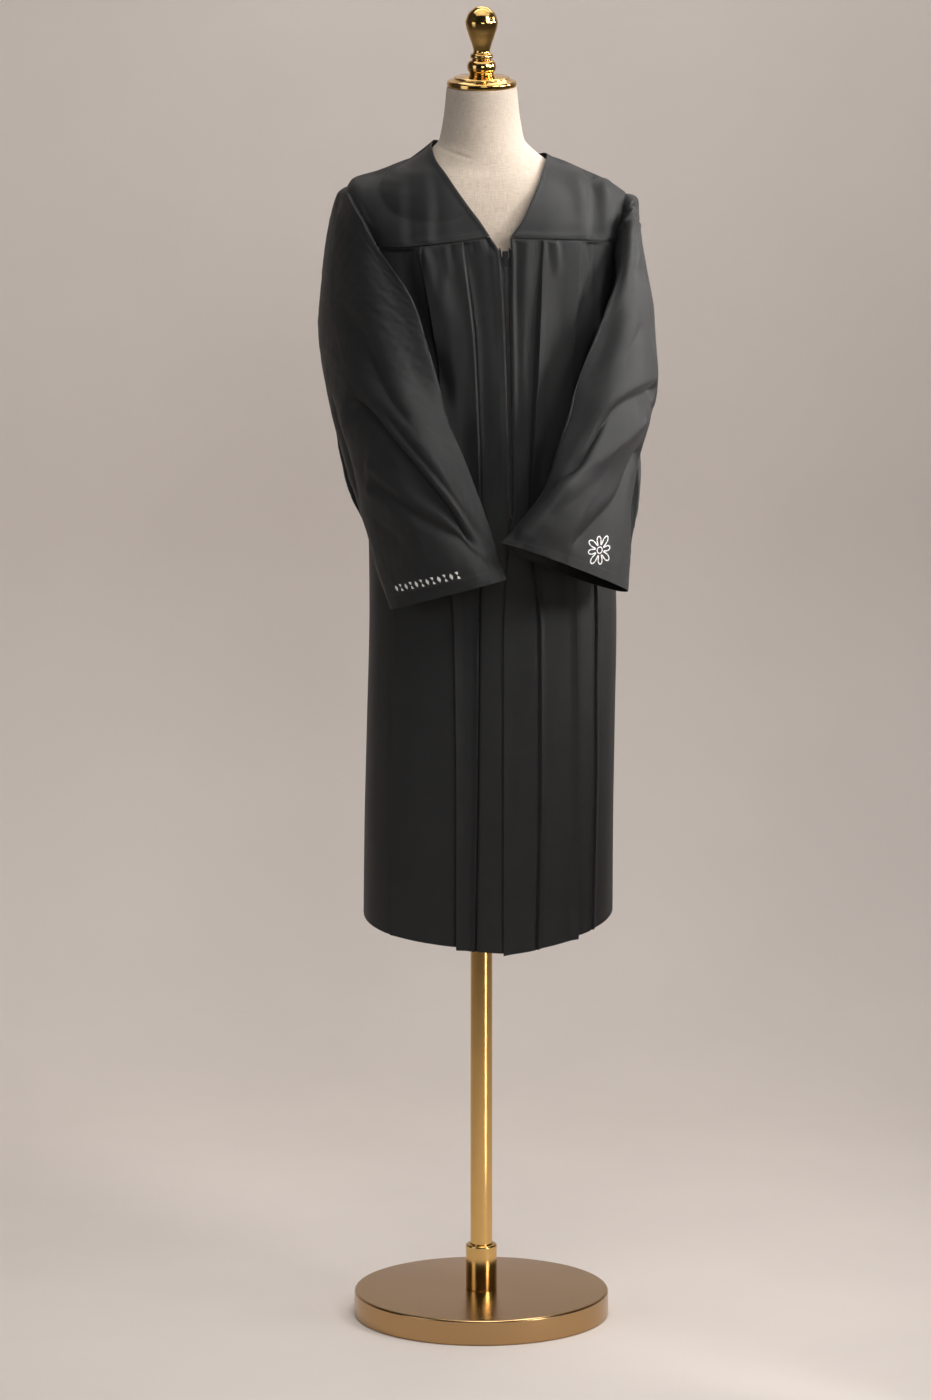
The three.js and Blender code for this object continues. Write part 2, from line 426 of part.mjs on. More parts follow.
function frontGrid(which) {
  const a = ARMHOLE[which], seam = YOKE_SEAM[which];
  const edge = column(FRONT_EDGE, 'z', which);
  const pleats = FRONT_PLEATS.filter((r) => r.panel === which);
  const sign = a.side;
  const grid = [];
  const row = (phiOuter, zOuter, zCentre, shape) => {
    const zAt = (w) => lerp(zOuter, zCentre, w ** shape);
    const xEdge = edge(zCentre);
    const xOuter = bodyPoint(phiOuter, zOuter)[0];
    // columns: the outer edge, either side of each pleat and between them, the centre edge
    const stops = [];
    for (const p of pleats) {
      const x = pleatX[p.name](lerp(zOuter, zCentre, 0.5));
      const lo = x - (p.drop > 0 ? 0.5 : p.step + 0.5), hi = x + (p.drop > 0 ? p.step + 0.5 : 0.5);
      stops.push(sign > 0 ? [lo, hi] : [hi, lo]);
    }
    stops.sort((p, q) => (p[0] - q[0]) * sign);
    if (sign > 0) stops.reverse();
    else stops.sort((p, q) => p[0] - q[0]);
    // from the outer edge to the centre
    const flat = [];
    for (const [c, d] of stops) flat.push(sign > 0 ? d : Math.min(c, d), sign > 0 ? c : Math.max(c, d));
    const xs = [xOuter];
    const room = Math.abs(xEdge - xOuter);
    let lastGood = 0;
    for (const x of flat) {
      const w = clamp(((x - xOuter) / (xEdge - xOuter)), 0, 1);
      const keep = clamp(w, lastGood + 5 / room, 1);
      xs.push(xOuter + keep * (xEdge - xOuter));
      lastGood = keep;
    }
    xs.push(xEdge);
    const all = [];
    for (let k = 0; k < xs.length - 1; k++) {
      all.push(xs[k]);
      if (k % 2 === 0) all.push((xs[k] + xs[k + 1]) / 2);
    }
    all.push(xs[xs.length - 1]);
    const from = phiOuter;
    return all.map((x, k) => {
      const w = Math.abs((x - xOuter) / (xEdge - xOuter));
      const z = zAt(w);
      let phi;
      if (k === 0) phi = from;
      else {
        phi = phiAtX(x, z);
        // keep the first inner column ahead of the outer one where the tube turns the corner
        phi = sign > 0 ? Math.min(phi, from - 0.02 * k) : Math.max(phi, from + 0.02 * k);
      }
      const p0 = bodyPoint(phi, z);
      const fade = ease(Math.abs(p0[0] - xOuter) / 30) * ease(Math.abs(p0[0] - xEdge) / 16);
      return bodyPoint(phi, z, pleatLift(which, p0[0], z) * fade);
    });
  };
  for (const t of LOW_ROWS) {
    const z = lerp(HEM[which].side, a.bottom, t), zc = lerp(HEM.front, a.bottom, t);
    grid.push(row((sign * Math.PI) / 2 - sign * 0.0008, z, zc, HEM[which].shape));
  }
  for (let k = PIT_STEP - 1; k >= YOKE_STEPS; k--) {
    const p = armholePoint(which, k);
    const top = armholePoint(which, YOKE_STEPS)[2];
    const share = (p[2] - a.bottom) / (top - a.bottom);
    const zc = lerp(a.bottom, seam.centre, share);
    grid.push(row(armholePhi(which, k), p[2], zc, seam.shape));
  }
  return grid;
}

const frontRightGrid = frontGrid('right');
const frontLeftGrid = frontGrid('left');

function backGrid() {
  const grid = [];
  const row = (phiR, phiL, zR, zL, zC) => {
    // from the wearer's right edge round the back to the left edge
    const xR = bodyPoint(phiR, zR)[0], xL = bodyPoint(phiL, zL)[0];
    const flat = [];
    for (const p of BACK_PLEATS) {
      const x = pleatX[p.name]((zR + zL) / 2);
      flat.push(x - (p.drop > 0 ? 0.5 : p.step + 0.5), x + (p.drop > 0 ? p.step + 0.5 : 0.5));
    }
    flat.sort((p, q) => p - q);
    const xs = [xR];
    for (const x of flat) xs.push(clamp(x, xs[xs.length - 1] + 4, xL));
    xs.push(xL);
    for (let k = xs.length - 2; k > 0; k--) xs[k] = Math.min(xs[k], xs[k + 1] - 4);
    const all = [];
    for (let k = 0; k < xs.length - 1; k++) {
      all.push(xs[k]);
      if (k % 2 === 0) all.push((xs[k] + xs[k + 1]) / 2);
    }
    all.push(xs[xs.length - 1]);
    const n = all.length - 1;
    const right = phiR < 0 ? phiR + 2 * Math.PI : phiR;
    return all.map((x, k) => {
      const w = clamp((x - xR) / (xL - xR), 0, 1);
      const dip = 4 * w * (1 - w);
      const z = lerp(zR, zL, w) + (zC - (zR + zL) / 2) * Math.min(1, dip ** 0.6);
      let phi;
      if (k === 0) phi = right;
      else if (k === n) phi = phiL;
      else phi = clamp(phiAtX(x, z, true), phiL + 0.02 * (n - k), right - 0.02 * k);
      const p0 = bodyPoint(phi, z);
      const fade = ease(Math.min(Math.abs(p0[0] - xR), Math.abs(p0[0] - xL)) / 30);
      return bodyPoint(phi, z, pleatLift('back', p0[0], z) * fade);
    });
  };
  const R = ARMHOLE.right, L = ARMHOLE.left;
  for (const t of LOW_ROWS) {
    grid.push(row(-Math.PI / 2 - 0.0016, Math.PI / 2 + 0.0016, lerp(HEM.right.side, R.bottom, t), lerp(HEM.left.side, L.bottom, t), lerp(HEM.back, (R.bottom + L.bottom) / 2, t)));
  }
  for (let k = PIT_STEP + 1; k <= AROUND - YOKE_STEPS; k++) {
    const share = (k - PIT_STEP) / (AROUND - YOKE_STEPS - PIT_STEP);
    const pr = armholePoint('right', k), pl = armholePoint('left', k);
    const top = YOKE_SEAM.back, low = (R.bottom + L.bottom) / 2;
    const zTop = (armholePoint('right', AROUND - YOKE_STEPS)[2] + armholePoint('left', AROUND - YOKE_STEPS)[2]) / 2;
    const mid = (pr[2] + pl[2]) / 2;
    const zc = lerp(low, top, (mid - low) / (zTop - low));
    grid.push(row(armholePhi('right', k), armholePhi('left', k), pr[2], pl[2], zc));
  }
  return grid;
}
const backPanelGrid = backGrid();

// ---------------------------------------------------------------- yokes
// a patch between four edges: a row of points along the panel's top, a curve along the shoulder, and two end curves
function patch(low, shares, top, start, end, rows) {
  const grid = [];
  const a = low[0], b = low[low.length - 1], c = top(0), d = top(1);
  for (let i = 0; i <= rows; i++) {
    const t = i / rows;
    grid.push(low.map((p, j) => {
      const s = shares[j], q = top(s), l = start(t), r = end(t);
      return [0, 1, 2].map((k) => (1 - t) * p[k] + t * q[k] + (1 - s) * l[k] + s * r[k]
        - ((1 - s) * (1 - t) * a[k] + s * (1 - t) * b[k] + (1 - s) * t * c[k] + s * t * d[k]));
    }));
  }
  return grid;
}
const OFF_FORM = WALL + 3;
const seamRow = (row) => row.map((p) => [p[0], p[1], p[2] + SEAM_GAP + 0.1]);
function sharesOf(row) {
  const run = [0];
  for (let k = 1; k < row.length; k++) run.push(run[k - 1] + length(minus(row[k], row[k - 1])));
  return run.map((v) => v / run[run.length - 1]);
}
// an end curve moved so that it starts and stops exactly at two points
const pinned = (f, first, last) => (t) => {
  const p = f(t), a = f(0), b = f(1);
  return [0, 1, 2].map((k) => p[k] + (1 - t) * (first[k] - a[k]) + t * (last[k] - b[k]));
};

function yokeFrontGrid(which, panel) {
  const neck = xyzCurve(NECKLINE[which]), shoulderX = column(SHOULDER[which], 't', 'x'), shoulderZ = column(SHOULDER[which], 't', 'z');
  const low = seamRow(panel[panel.length - 1]);
  const tip = armholePoint(which, 0);
  const top = pinned((s) => [shoulderX(s), -SEAM_GAP / 2, shoulderZ(s)], [tip[0], -SEAM_GAP / 2, tip[2]], [shoulderX(1), -SEAM_GAP / 2, shoulderZ(1)]);
  const start = pinned((t) => armholePoint(which, YOKE_STEPS * (1 - t)), low[0], top(0));
  const end = pinned(neck, low[low.length - 1], top(1));
  const grid = patch(low, sharesOf(low), top, start, end, YOKE_STEPS);
  return grid.map((row, i) => row.map((p, j) => {
    if (i === 0 || j === 0) return p;
    const q = keepOff(p, formShare, OFF_FORM + (i >= YOKE_STEPS - 1 ? 1.5 : 0.5));
    return i === YOKE_STEPS ? [q[0], -SEAM_GAP / 2, q[2]] : q;
  }));
}
const holdYokeFront = (i, j, outer, inner) => {
  const p = [...inner];
  if (i === 0) p[2] = Math.max(p[2], outer[2]);
  if (i === YOKE_STEPS) p[1] = Math.min(p[1], -SEAM_GAP / 2);
  return p;
};

function yokeBackGrid(panel) {
  const backNeck = xyzCurve(BACK_NECK);
  const sr = { x: column(SHOULDER.right, 't', 'x'), z: column(SHOULDER.right, 't', 'z') };
  const sl = { x: column(SHOULDER.left, 't', 'x'), z: column(SHOULDER.left, 't', 'z') };
  const k1 = AROUND - YOKE_STEPS, y0 = SEAM_GAP / 2;
  const low = seamRow(panel[panel.length - 1]);
  const tipR = armholePoint('right', 0), tipL = armholePoint('left', 0);
  const SHARE = 0.36;
  const raw = (s) => {
    if (s < SHARE) return [sr.x(s / SHARE), y0, sr.z(s / SHARE)];
    if (s > 1 - SHARE) return [sl.x((1 - s) / SHARE), y0, sl.z((1 - s) / SHARE)];
    const p = backNeck((s - SHARE) / (1 - 2 * SHARE));
    return [p[0], p[1] + y0, p[2]];
  };
  const top = (s) => {
    const p = raw(s), near = Math.max(0, 1 - s / 0.1), far = Math.max(0, 1 - (1 - s) / 0.1);
    const a = raw(0), b = raw(1);
    return [p[0] + near * (tipR[0] - a[0]) + far * (tipL[0] - b[0]), p[1], p[2] + near * (tipR[2] - a[2]) + far * (tipL[2] - b[2])];
  };
  const start = pinned((t) => armholePoint('right', k1 + YOKE_STEPS * t), low[0], top(0));
  const end = pinned((t) => armholePoint('left', k1 + YOKE_STEPS * t), low[low.length - 1], top(1));
  const shares = sharesOf(low), last = low.length - 1;
  const grid = patch(low, shares, top, start, end, YOKE_STEPS);
  return grid.map((row, i) => row.map((p, j) => {
    if (i === 0 || j === 0 || j === last) return p;
    const q = keepOff(p, formShare, OFF_FORM + 2.5);
    if (i === YOKE_STEPS && (shares[j] < SHARE || shares[j] > 1 - SHARE)) return [q[0], y0, q[2]];
    return q;
  }));
}
const holdYokeBack = (i, j, outer, inner) => {
  const p = [...inner];
  if (i === 0) p[2] = Math.max(p[2], outer[2]);
  if (i === YOKE_STEPS) p[1] = Math.max(p[1], SEAM_GAP / 2);
  return p;
};
const holdFront = (i, j, outer, inner) => {
  const p = [...inner];
  if (i === frontRightGrid.length - 1) p[2] = Math.min(p[2], outer[2]);
  if (j === 0 && i < LOW_ROWS.length) p[1] = Math.min(p[1], outer[1]);
  return p;
};
const holdBack = (i, j, outer, inner) => {
  const p = [...inner];
  if (i === backPanelGrid.length - 1) p[2] = Math.min(p[2], outer[2]);
  if ((j === 0 || j === backPanelGrid[0].length - 1) && i < LOW_ROWS.length) p[1] = Math.max(p[1], outer[1]);
  return p;
};

// ---------------------------------------------------------------- sleeves
function sleevePoint(which, s, angle) {
  const rows = SLEEVE[which];
  const at = {};
  for (const name of ['crown', 'fore', 'under', 'rear']) {
    at[name] = sleeveCurves[which][name](s);
  }
  const mid = [0, 1, 2].map((k) => (at.fore[k] + at.rear[k]) / 2);
  const c = Math.cos(angle), d = Math.sin(angle);
  return [0, 1, 2].map((k) => {
    const chord = ((at.fore[k] - at.rear[k]) / 2) * d;
    const bulge = c >= 0 ? (at.crown[k] - mid[k]) * c : (at.under[k] - mid[k]) * -c;
    return mid[k] + chord + bulge;
  });
}
const sleeveCurves = {};
for (const which of ['right', 'left']) {
  sleeveCurves[which] = {};
  const quarter = { crown: 0, fore: AROUND / 4, under: AROUND / 2, rear: (3 * AROUND) / 4 };
  for (const name of ['crown', 'fore', 'under', 'rear']) {
    const seam = armholePoint(which, quarter[name], 0.5, 0.1);
    sleeveCurves[which][name] = pointCurve([{ s: 0, [name]: seam }, ...SLEEVE[which]], 's', name);
  }
}
// how far the folds push a point of the sleeve in or out
const foldPaths = SLEEVE_FOLDS.map((f) => {
  const rows = [0, 1, 2, 3].map((k) => ({ t: k / 3, s: f[`s${k}`], a: f[`a${k}`] }));
  const s = column(rows, 't', 's'), a = column(rows, 't', 'a'), path = [];
  for (let k = 0; k <= 24; k++) path.push(sleevePoint(f.sleeve, s(k / 24), (a(k / 24) * Math.PI) / 180));
  return { ...f, path };
});
function foldLift(which, p) {
  let sum = 0;
  for (const f of foldPaths) {
    if (f.sleeve !== which) continue;
    let best = Infinity, t = 0;
    f.path.forEach((q, k) => { const d = length(minus(p, q)); if (d < best) { best = d; t = k / 24; } });
    if (best < f.width) sum += f.depth * ease(1 - best / f.width) * ease(Math.min(t / 0.25, (1 - t) / 0.15) + 0.15);
  }
  return sum;
}
function sleeveGrid(which) {
  const grid = [];
  const rings = SLEEVE_RINGS[which];
  for (let i = 0; i <= rings; i++) {
    const s = (i / rings) ** 1.15, row = [];
    for (let k = 0; k < AROUND; k++) {
      if (i === 0) row.push(armholePoint(which, k, 0.5, 0.1));
      else {
        const angle = (2 * Math.PI * k) / AROUND;
        const away = lerp(3, 11, ease((s - 0.03) / 0.15)) + WALL;
        const p = sleevePoint(which, s, angle), e = 0.02;
        const across = minus(sleevePoint(which, s, angle + e), sleevePoint(which, s, angle - e));
        const along = minus(sleevePoint(which, Math.min(1, s + e), angle), sleevePoint(which, s - e, angle));
        const out = unit(cross(along, across));
        row.push(keepOff(plus(p, out, foldLift(which, p) * (which === 'right' ? 1 : -1)), bodyShare, away));
      }
    }
    grid.push(row);
  }
  return grid;
}

// ---------------------------------------------------------------- build the cloth
add('yoke_front_right', wallOf(yokeFrontGrid('right', frontRightGrid), false, WALL, 1, holdYokeFront), CLOTH);
add('yoke_front_left', wallOf(yokeFrontGrid('left', frontLeftGrid), false, WALL, -1, holdYokeFront), CLOTH);
add('yoke_back', wallOf(yokeBackGrid(backPanelGrid), false, WALL, -1, holdYokeBack), CLOTH);
add('front_right', wallOf(frontRightGrid, false, WALL, 1, holdFront), CLOTH);
add('front_left', wallOf(frontLeftGrid, false, WALL, -1, holdFront), CLOTH);
add('back', wallOf(backPanelGrid, false, WALL, -1, holdBack), CLOTH);
add('sleeve_right', wallOf(sleeveGrid('right'), true, WALL, -1), CLOTH);
add('sleeve_left', wallOf(sleeveGrid('left'), true, WALL, 1), CLOTH);

// ---------------------------------------------------------------- the zip
const zipX = (z) => (column(FRONT_EDGE, 'z', 'right')(z) + column(FRONT_EDGE, 'z', 'left')(z)) / 2;
const panelY = (x, z) => bodyPoint(phiAtX(x, z), z)[1];
// a strip that follows the panels' inner side, from x offsets a to b of the zip's middle
function strip(zs, from, to, behind, thick) {
  const grid = zs.map((z) => [from(z), to(z)].map((x) => [x, panelY(x, z) + behind, z]));
  return wallOf(grid, false, thick, 1);
}
const tapeZs = [];
for (let k = 0; k <= 14; k++) tapeZs.push(lerp(ZIP.bottom, ZIP.top, k / 14));
const chainZs = tapeZs.map((z, k) => (k === 14 ? SLIDER.top - SLIDER.tall - SEAM_GAP : z)).filter((z, k, a) => k === a.length - 1 || z < SLIDER.top - SLIDER.tall - 5);
const sliderX = zipX(SLIDER.top - 6);
const behindPanel = WALL + 1.6;
const openAt = (z) => Math.max(ZIP.chain / 2 + 0.5, ease((z - (SLIDER.top - SLIDER.tall - 2)) / 3) * (SLIDER.width / 2 + 1.3));
add('zip_tape_right', strip(tapeZs, (z) => zipX(z) - openAt(z) - ZIP.tape, (z) => zipX(z) - openAt(z), behindPanel, TAPE_WALL), CLOTH);
add('zip_tape_left', strip(tapeZs, (z) => zipX(z) + openAt(z), (z) => zipX(z) + openAt(z) + ZIP.tape, behindPanel, TAPE_WALL), CLOTH);
add('zip_chain', strip(chainZs, (z) => zipX(z) - ZIP.chain / 2, (z) => zipX(z) + ZIP.chain / 2, behindPanel - 1.1, ZIP.chainDeep), ZIP_METAL);

function plate(shape, depth, x, yFront, z) {
  // an outline drawn in x and z, extruded backwards from its front face
  const g = new THREE.ExtrudeGeometry(shape, { depth, bevelEnabled: false, curveSegments: 5 });
  g.rotateX(Math.PI / 2);
  g.translate(x, yFront + depth, z);
  return g;
}
function roundedShape(w, h, r) {
  const s = new THREE.Shape();
  s.moveTo(-w / 2 + r, 0);
  s.lineTo(w / 2 - r, 0); s.quadraticCurveTo(w / 2, 0, w / 2, r);
  s.lineTo(w / 2, h - r); s.quadraticCurveTo(w / 2, h, w / 2 - r, h);
  s.lineTo(-w / 2 + r, h); s.quadraticCurveTo(-w / 2, h, -w / 2, h - r);
  s.lineTo(-w / 2, r); s.quadraticCurveTo(-w / 2, 0, -w / 2 + r, 0);
  return s;
}
function solidOf(geometry) {
  const position = geometry.attributes.position, seen = new Map(), points = [], remap = [];
  for (let i = 0; i < position.count; i++) {
    const p = [position.getX(i), position.getY(i), position.getZ(i)];
    const id = p.map((v) => Math.round(v * 1e4)).join();
    if (!seen.has(id)) { seen.set(id, points.length); points.push(p); }
    remap.push(seen.get(id));
  }
  const source = geometry.index ? Array.from(geometry.index.array) : remap.map((_, i) => i);
  const tri = [];
  for (let i = 0; i < source.length; i += 3) {
    const [a, b, c] = [remap[source[i]], remap[source[i + 1]], remap[source[i + 2]]];
    if (a !== b && b !== c && a !== c) tri.push(a, b, c);
  }
  return new wasm.Manifold(new wasm.Mesh({ numProp: 3, vertProperties: new Float32Array(points.flat()), triVerts: new Uint32Array(tri) }));
}
function geometryOf(solid) {
  const m = solid.getMesh();
  const g = new THREE.BufferGeometry();
  g.setAttribute('position', new THREE.Float32BufferAttribute(m.vertProperties, 3));
  g.setIndex(Array.from(m.triVerts));
  g.computeVertexNormals();
  return g;
}

const sliderFront = panelY(sliderX, SLIDER.top - 6) - 0.6;
const sliderBody = plate(roundedShape(SLIDER.width, SLIDER.tall, 1.8), SLIDER.deep, sliderX, sliderFront, SLIDER.top - SLIDER.tall);
// the arch that holds the tab: a flat half ring standing out from the slider's face
const archShape = new THREE.Shape();
const archTall = 6.4, archThick = 1.2;
archShape.moveTo(0, 0);
archShape.lineTo(-SLIDER.archReach - archThick + 1, 0);
archShape.quadraticCurveTo(-SLIDER.archReach - archThick, 0, -SLIDER.archReach - archThick, 1);
archShape.lineTo(-SLIDER.archReach - archThick, archTall - 1);
archShape.quadraticCurveTo(-SLIDER.archReach - archThick, archTall, -SLIDER.archReach - archThick + 1, archTall);
archShape.lineTo(0, archTall);
archShape.closePath();
const archHole = new THREE.Path();
archHole.moveTo(-0.2 + 0.2, archThick);
archHole.lineTo(-SLIDER.archReach, archThick);
archHole.lineTo(-SLIDER.archReach, archTall - archThick);
archHole.lineTo(0, archTall - archThick);
archHole.closePath();
// drawn with y along the outline's x and z along its y, then pushed into the slider's face by 0.4
const archSolid = (() => {
  const outer = new THREE.ExtrudeGeometry(archShape, { depth: SLIDER.arch, bevelEnabled: false, curveSegments: 4 });
  const holeShape = new THREE.Shape([
    new THREE.Vector2(0, archThick), new THREE.Vector2(-SLIDER.archReach, archThick),
    new THREE.Vector2(-SLIDER.archReach, archTall - archThick), new THREE.Vector2(0, archTall - archThick),
  ]);
  const hole = new THREE.ExtrudeGeometry(holeShape, { depth: SLIDER.arch + 2, bevelEnabled: false });
  hole.translate(0, 0, -1);
  // outline x -> y, outline y -> z, depth -> x
  const turn = new THREE.Matrix4().set(0, 0, 1, 0, 1, 0, 0, 0, 0, 1, 0, 0, 0, 0, 0, 1);
  outer.applyMatrix4(turn);
  hole.applyMatrix4(turn);
  const at = [sliderX - SLIDER.arch / 2, sliderFront, SLIDER.top - archTall - 0.6];
  outer.translate(at[0], at[1] + 0.4, at[2]);
  hole.translate(at[0], at[1], at[2]);
  return solidOf(outer).subtract(solidOf(hole));
})();
add('zip_slider', geometryOf(solidOf(sliderBody).add(archSolid)), ZIP_METAL);

// the pull tab hangs from the arch: its bar passes through it, and its eye is open round it
const pivot = { x: sliderX, y: sliderFront - SLIDER.archReach / 2, z: SLIDER.top - 0.6 - archTall + archThick + 0.3 + TAB.bar / 2 };
const tabOuter = new THREE.Shape();
{
  const w = TAB.wide / 2, top = TAB.bar / 2, low = top - TAB.long;
  tabOuter.moveTo(-w + 0.9, top);
  tabOuter.quadraticCurveTo(-w, top, -w, top - 0.9);
  tabOuter.lineTo(-w * 0.82, low * 0.45);
  tabOuter.lineTo(-w, low + 2.2);
  tabOuter.quadraticCurveTo(-w, low, -w + 2, low);
  tabOuter.lineTo(w - 2, low);
  tabOuter.quadraticCurveTo(w, low, w, low + 2.2);
  tabOuter.lineTo(w * 0.82, low * 0.45);
  tabOuter.lineTo(w, top - 0.9);
  tabOuter.quadraticCurveTo(w, top, w - 0.9, top);
  tabOuter.closePath();
  const eye = new THREE.Path();
  const eTop = -TAB.bar / 2, eLow = eTop - TAB.eyeTall;
  eye.moveTo(-TAB.eyeWide / 2, eTop);
  eye.lineTo(TAB.eyeWide / 2, eTop);
  eye.lineTo(TAB.eyeWide / 2, eLow + 1);
  eye.quadraticCurveTo(0, eLow - 0.4, -TAB.eyeWide / 2, eLow + 1);
  eye.closePath();
  tabOuter.holes.push(eye);
}
const tab = plate(tabOuter, TAB.thick, pivot.x, pivot.y - TAB.thick / 2, pivot.z);
add('zip_pull_tab', geometryOf(solidOf(tab)), ZIP_METAL);

// top stops, crimped over the tapes' edges
for (const [name, sign] of [['zip_stop_right', -1], ['zip_stop_left', 1]]) {
  const z = ZIP.top + SEAM_GAP, x = zipX(z) + sign * (openAt(z) + 1.6);
  const g = plate(roundedShape(ZIP.stop, ZIP.stop, 0.7), 1.8, x, panelY(x, z) + behindPanel - 0.6, z);
  add(name, geometryOf(solidOf(g)), STOP_METAL);
}

// ---------------------------------------------------------------- the dress form and its stand
{
  const around = 32;
  const heights = [...new Set([...FORM.map((r) => r.z), 1120, 1290, 1450, 1550, 1630, 1680, 1712, 1730, 1756, 1776, 1805, 1858])].sort((a, b) => a - b);
  const points = [], faces = [];
  for (const z of heights) {
    for (let k = 0; k < around; k++) {
      const phi = (2 * Math.PI * k) / around, s = Math.sin(phi), c = Math.cos(phi), n = formAt.n(z);
      const b = c > 0 ? formAt.front(z) : formAt.back(z);
      const r = (Math.abs(s / formAt.half(z)) ** n + Math.abs(c / b) ** n) ** (-1 / n);
      points.push([r * s, -r * c, z]);
    }
  }
  const low = points.push([0, 0, FORM_BOTTOM]) - 1, high = points.push([0, 0, FORM_TOP]) - 1;
  for (let i = 0; i < heights.length - 1; i++) {
    for (let k = 0; k < around; k++) {
      const a = i * around + k, b = i * around + ((k + 1) % around);
      faces.push([a, b, b + around], [a, b + around, a + around]);
    }
  }
  const lastRow = (heights.length - 1) * around;
  for (let k = 0; k < around; k++) {
    faces.push([low, (k + 1) % around, k]);
    faces.push([high, lastRow + k, lastRow + ((k + 1) % around)]);
  }
  add('form_torso', meshOf(points, faces), LINEN);
}

function turned(rows, segments) {
  const g = new THREE.LatheGeometry(rows.map((p) => new THREE.Vector2(p.r, p.z)), segments);
  g.rotateX(Math.PI / 2);
  return geometryOf(solidOf(g));
}
const cylinder = (r, z0, z1, edge = 0) => (edge
  ? [{ r: 0, z: z0 }, { r: r - edge, z: z0 }, { r, z: z0 + edge }, { r, z: z1 - edge }, { r: r - edge, z: z1 }, { r: 0, z: z1 }]
  : [{ r: 0, z: z0 }, { r, z: z0 }, { r, z: z1 }, { r: 0, z: z1 }]);

add('neck_cap', turned(CAP, 32), BRASS);
add('finial', turned(FINIAL, 20), BRASS);
add('base_disc', turned(cylinder(BASE_R, 0, BASE_H, BASE_EDGE), 64), BRUSHED);
// the collar is a sleeve round the pole's foot
add('pole_collar', turned([
  { r: POLE_R + SEAM_GAP, z: BASE_H + SEAM_GAP }, { r: COLLAR_R, z: BASE_H + SEAM_GAP }, { r: COLLAR_R, z: COLLAR_TOP - 3 },
  { r: COLLAR_R - 0.9, z: COLLAR_TOP - 0.9 }, { r: COLLAR_R - 3, z: COLLAR_TOP }, { r: POLE_R + SEAM_GAP, z: COLLAR_TOP }, { r: POLE_R + SEAM_GAP, z: BASE_H + SEAM_GAP },
], 32), BRASS);
add('pole', turned(cylinder(POLE_R, BASE_H + SEAM_GAP, FORM_BOTTOM - SEAM_GAP), 32), BRASS);

export default group;
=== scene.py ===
import math

import bpy
import numpy as np
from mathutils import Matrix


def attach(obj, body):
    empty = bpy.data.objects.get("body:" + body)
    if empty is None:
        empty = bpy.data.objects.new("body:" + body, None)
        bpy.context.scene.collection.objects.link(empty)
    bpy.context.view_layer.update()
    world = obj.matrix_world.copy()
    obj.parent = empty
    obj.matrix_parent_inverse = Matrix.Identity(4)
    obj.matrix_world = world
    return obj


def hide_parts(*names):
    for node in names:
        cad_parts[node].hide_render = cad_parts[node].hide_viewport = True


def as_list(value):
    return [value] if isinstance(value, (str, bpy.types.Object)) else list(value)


# ------------------------------------------------------------------ the frame
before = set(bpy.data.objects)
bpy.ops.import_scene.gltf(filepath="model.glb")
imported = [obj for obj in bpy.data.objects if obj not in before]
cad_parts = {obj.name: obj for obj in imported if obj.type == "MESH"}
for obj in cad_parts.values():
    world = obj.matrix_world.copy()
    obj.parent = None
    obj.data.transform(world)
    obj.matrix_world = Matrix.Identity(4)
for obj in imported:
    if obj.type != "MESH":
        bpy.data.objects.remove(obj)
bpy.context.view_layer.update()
MM = 0.001
ROOT = "gown_on_form"

# ------------------------------------------------------------------ sizes (mm), the same as the CAD's
WALL = 1.0            # the cloth's own look: thinner than the CAD wall, on the same outer face
SEAM_GAP = 0.3
FULLNESS = 2.45
AROUND = 32
YOKE_STEPS = 6
PIT_STEP = 16

BODY = {  # z, cx, half, front, back
    "z":     [560, 760, 920, 1080, 1250, 1400, 1500, 1600, 1650, 1690, 1724, 1760],
    "cx":    [9.5, 11, 14, 17, 13, 9, 7, 7, 7, 7, 7, 7],
    "half":  [188, 187, 186, 185, 183, 185, 188, 194, 199, 204, 206, 206],
    "front": [138, 136, 134, 132, 128, 124, 121, 116, 112, 106, 98, 90],
    "back":  [132, 131, 129, 127, 123, 118, 112, 104, 97, 91, 86, 80],
}
FORM = {
    "z":     [1010, 1013, 1022, 1045, 1085, 1160, 1240, 1330, 1400, 1500, 1600, 1660, 1700, 1722, 1737, 1750, 1762, 1771, 1784, 1797, 1814, 1840, 1876.4],
    "half":  [96, 118, 134, 148, 153, 152, 147, 145, 149, 162, 173, 178, 177, 169, 152, 129, 105, 91, 75, 63.5, 59.5, 55.5, 52],
    "front": [60, 76, 92, 104, 109, 107, 100, 94, 97, 103, 104, 101, 94, 88, 82, 76, 69, 65, 61, 58.5, 56, 53, 51],
    "back":  [54, 70, 84, 94, 99, 98, 92, 86, 88, 94, 95, 90, 83, 78, 67, 63, 60, 58.5, 58.5, 58.5, 57, 54, 51],
}
FORM_N = {"z": [1010, 1700, 1760, 1800, 1876.4], "n": [2.3, 2.3, 2.1, 2.0, 2.0]}
ARMHOLE = {
    "right": {"side": -1, "top": 1729, "bottom": 1464, "front": 84, "back": 82},
    "left":  {"side": 1,  "top": 1719, "bottom": 1459, "front": 44, "back": 82},
}
SHOULDER = {
    "right": {"t": [0, 0.1, 0.35, 0.6, 0.8, 1], "x": [-199, -192, -152, -118, -96, -70], "z": [1729, 1739, 1752.5, 1766, 1774, 1793]},
    "left":  {"t": [0, 0.2, 0.5, 0.8, 1], "x": [213, 187, 152, 118, 97], "z": [1719, 1737, 1753, 1768, 1775]},
}
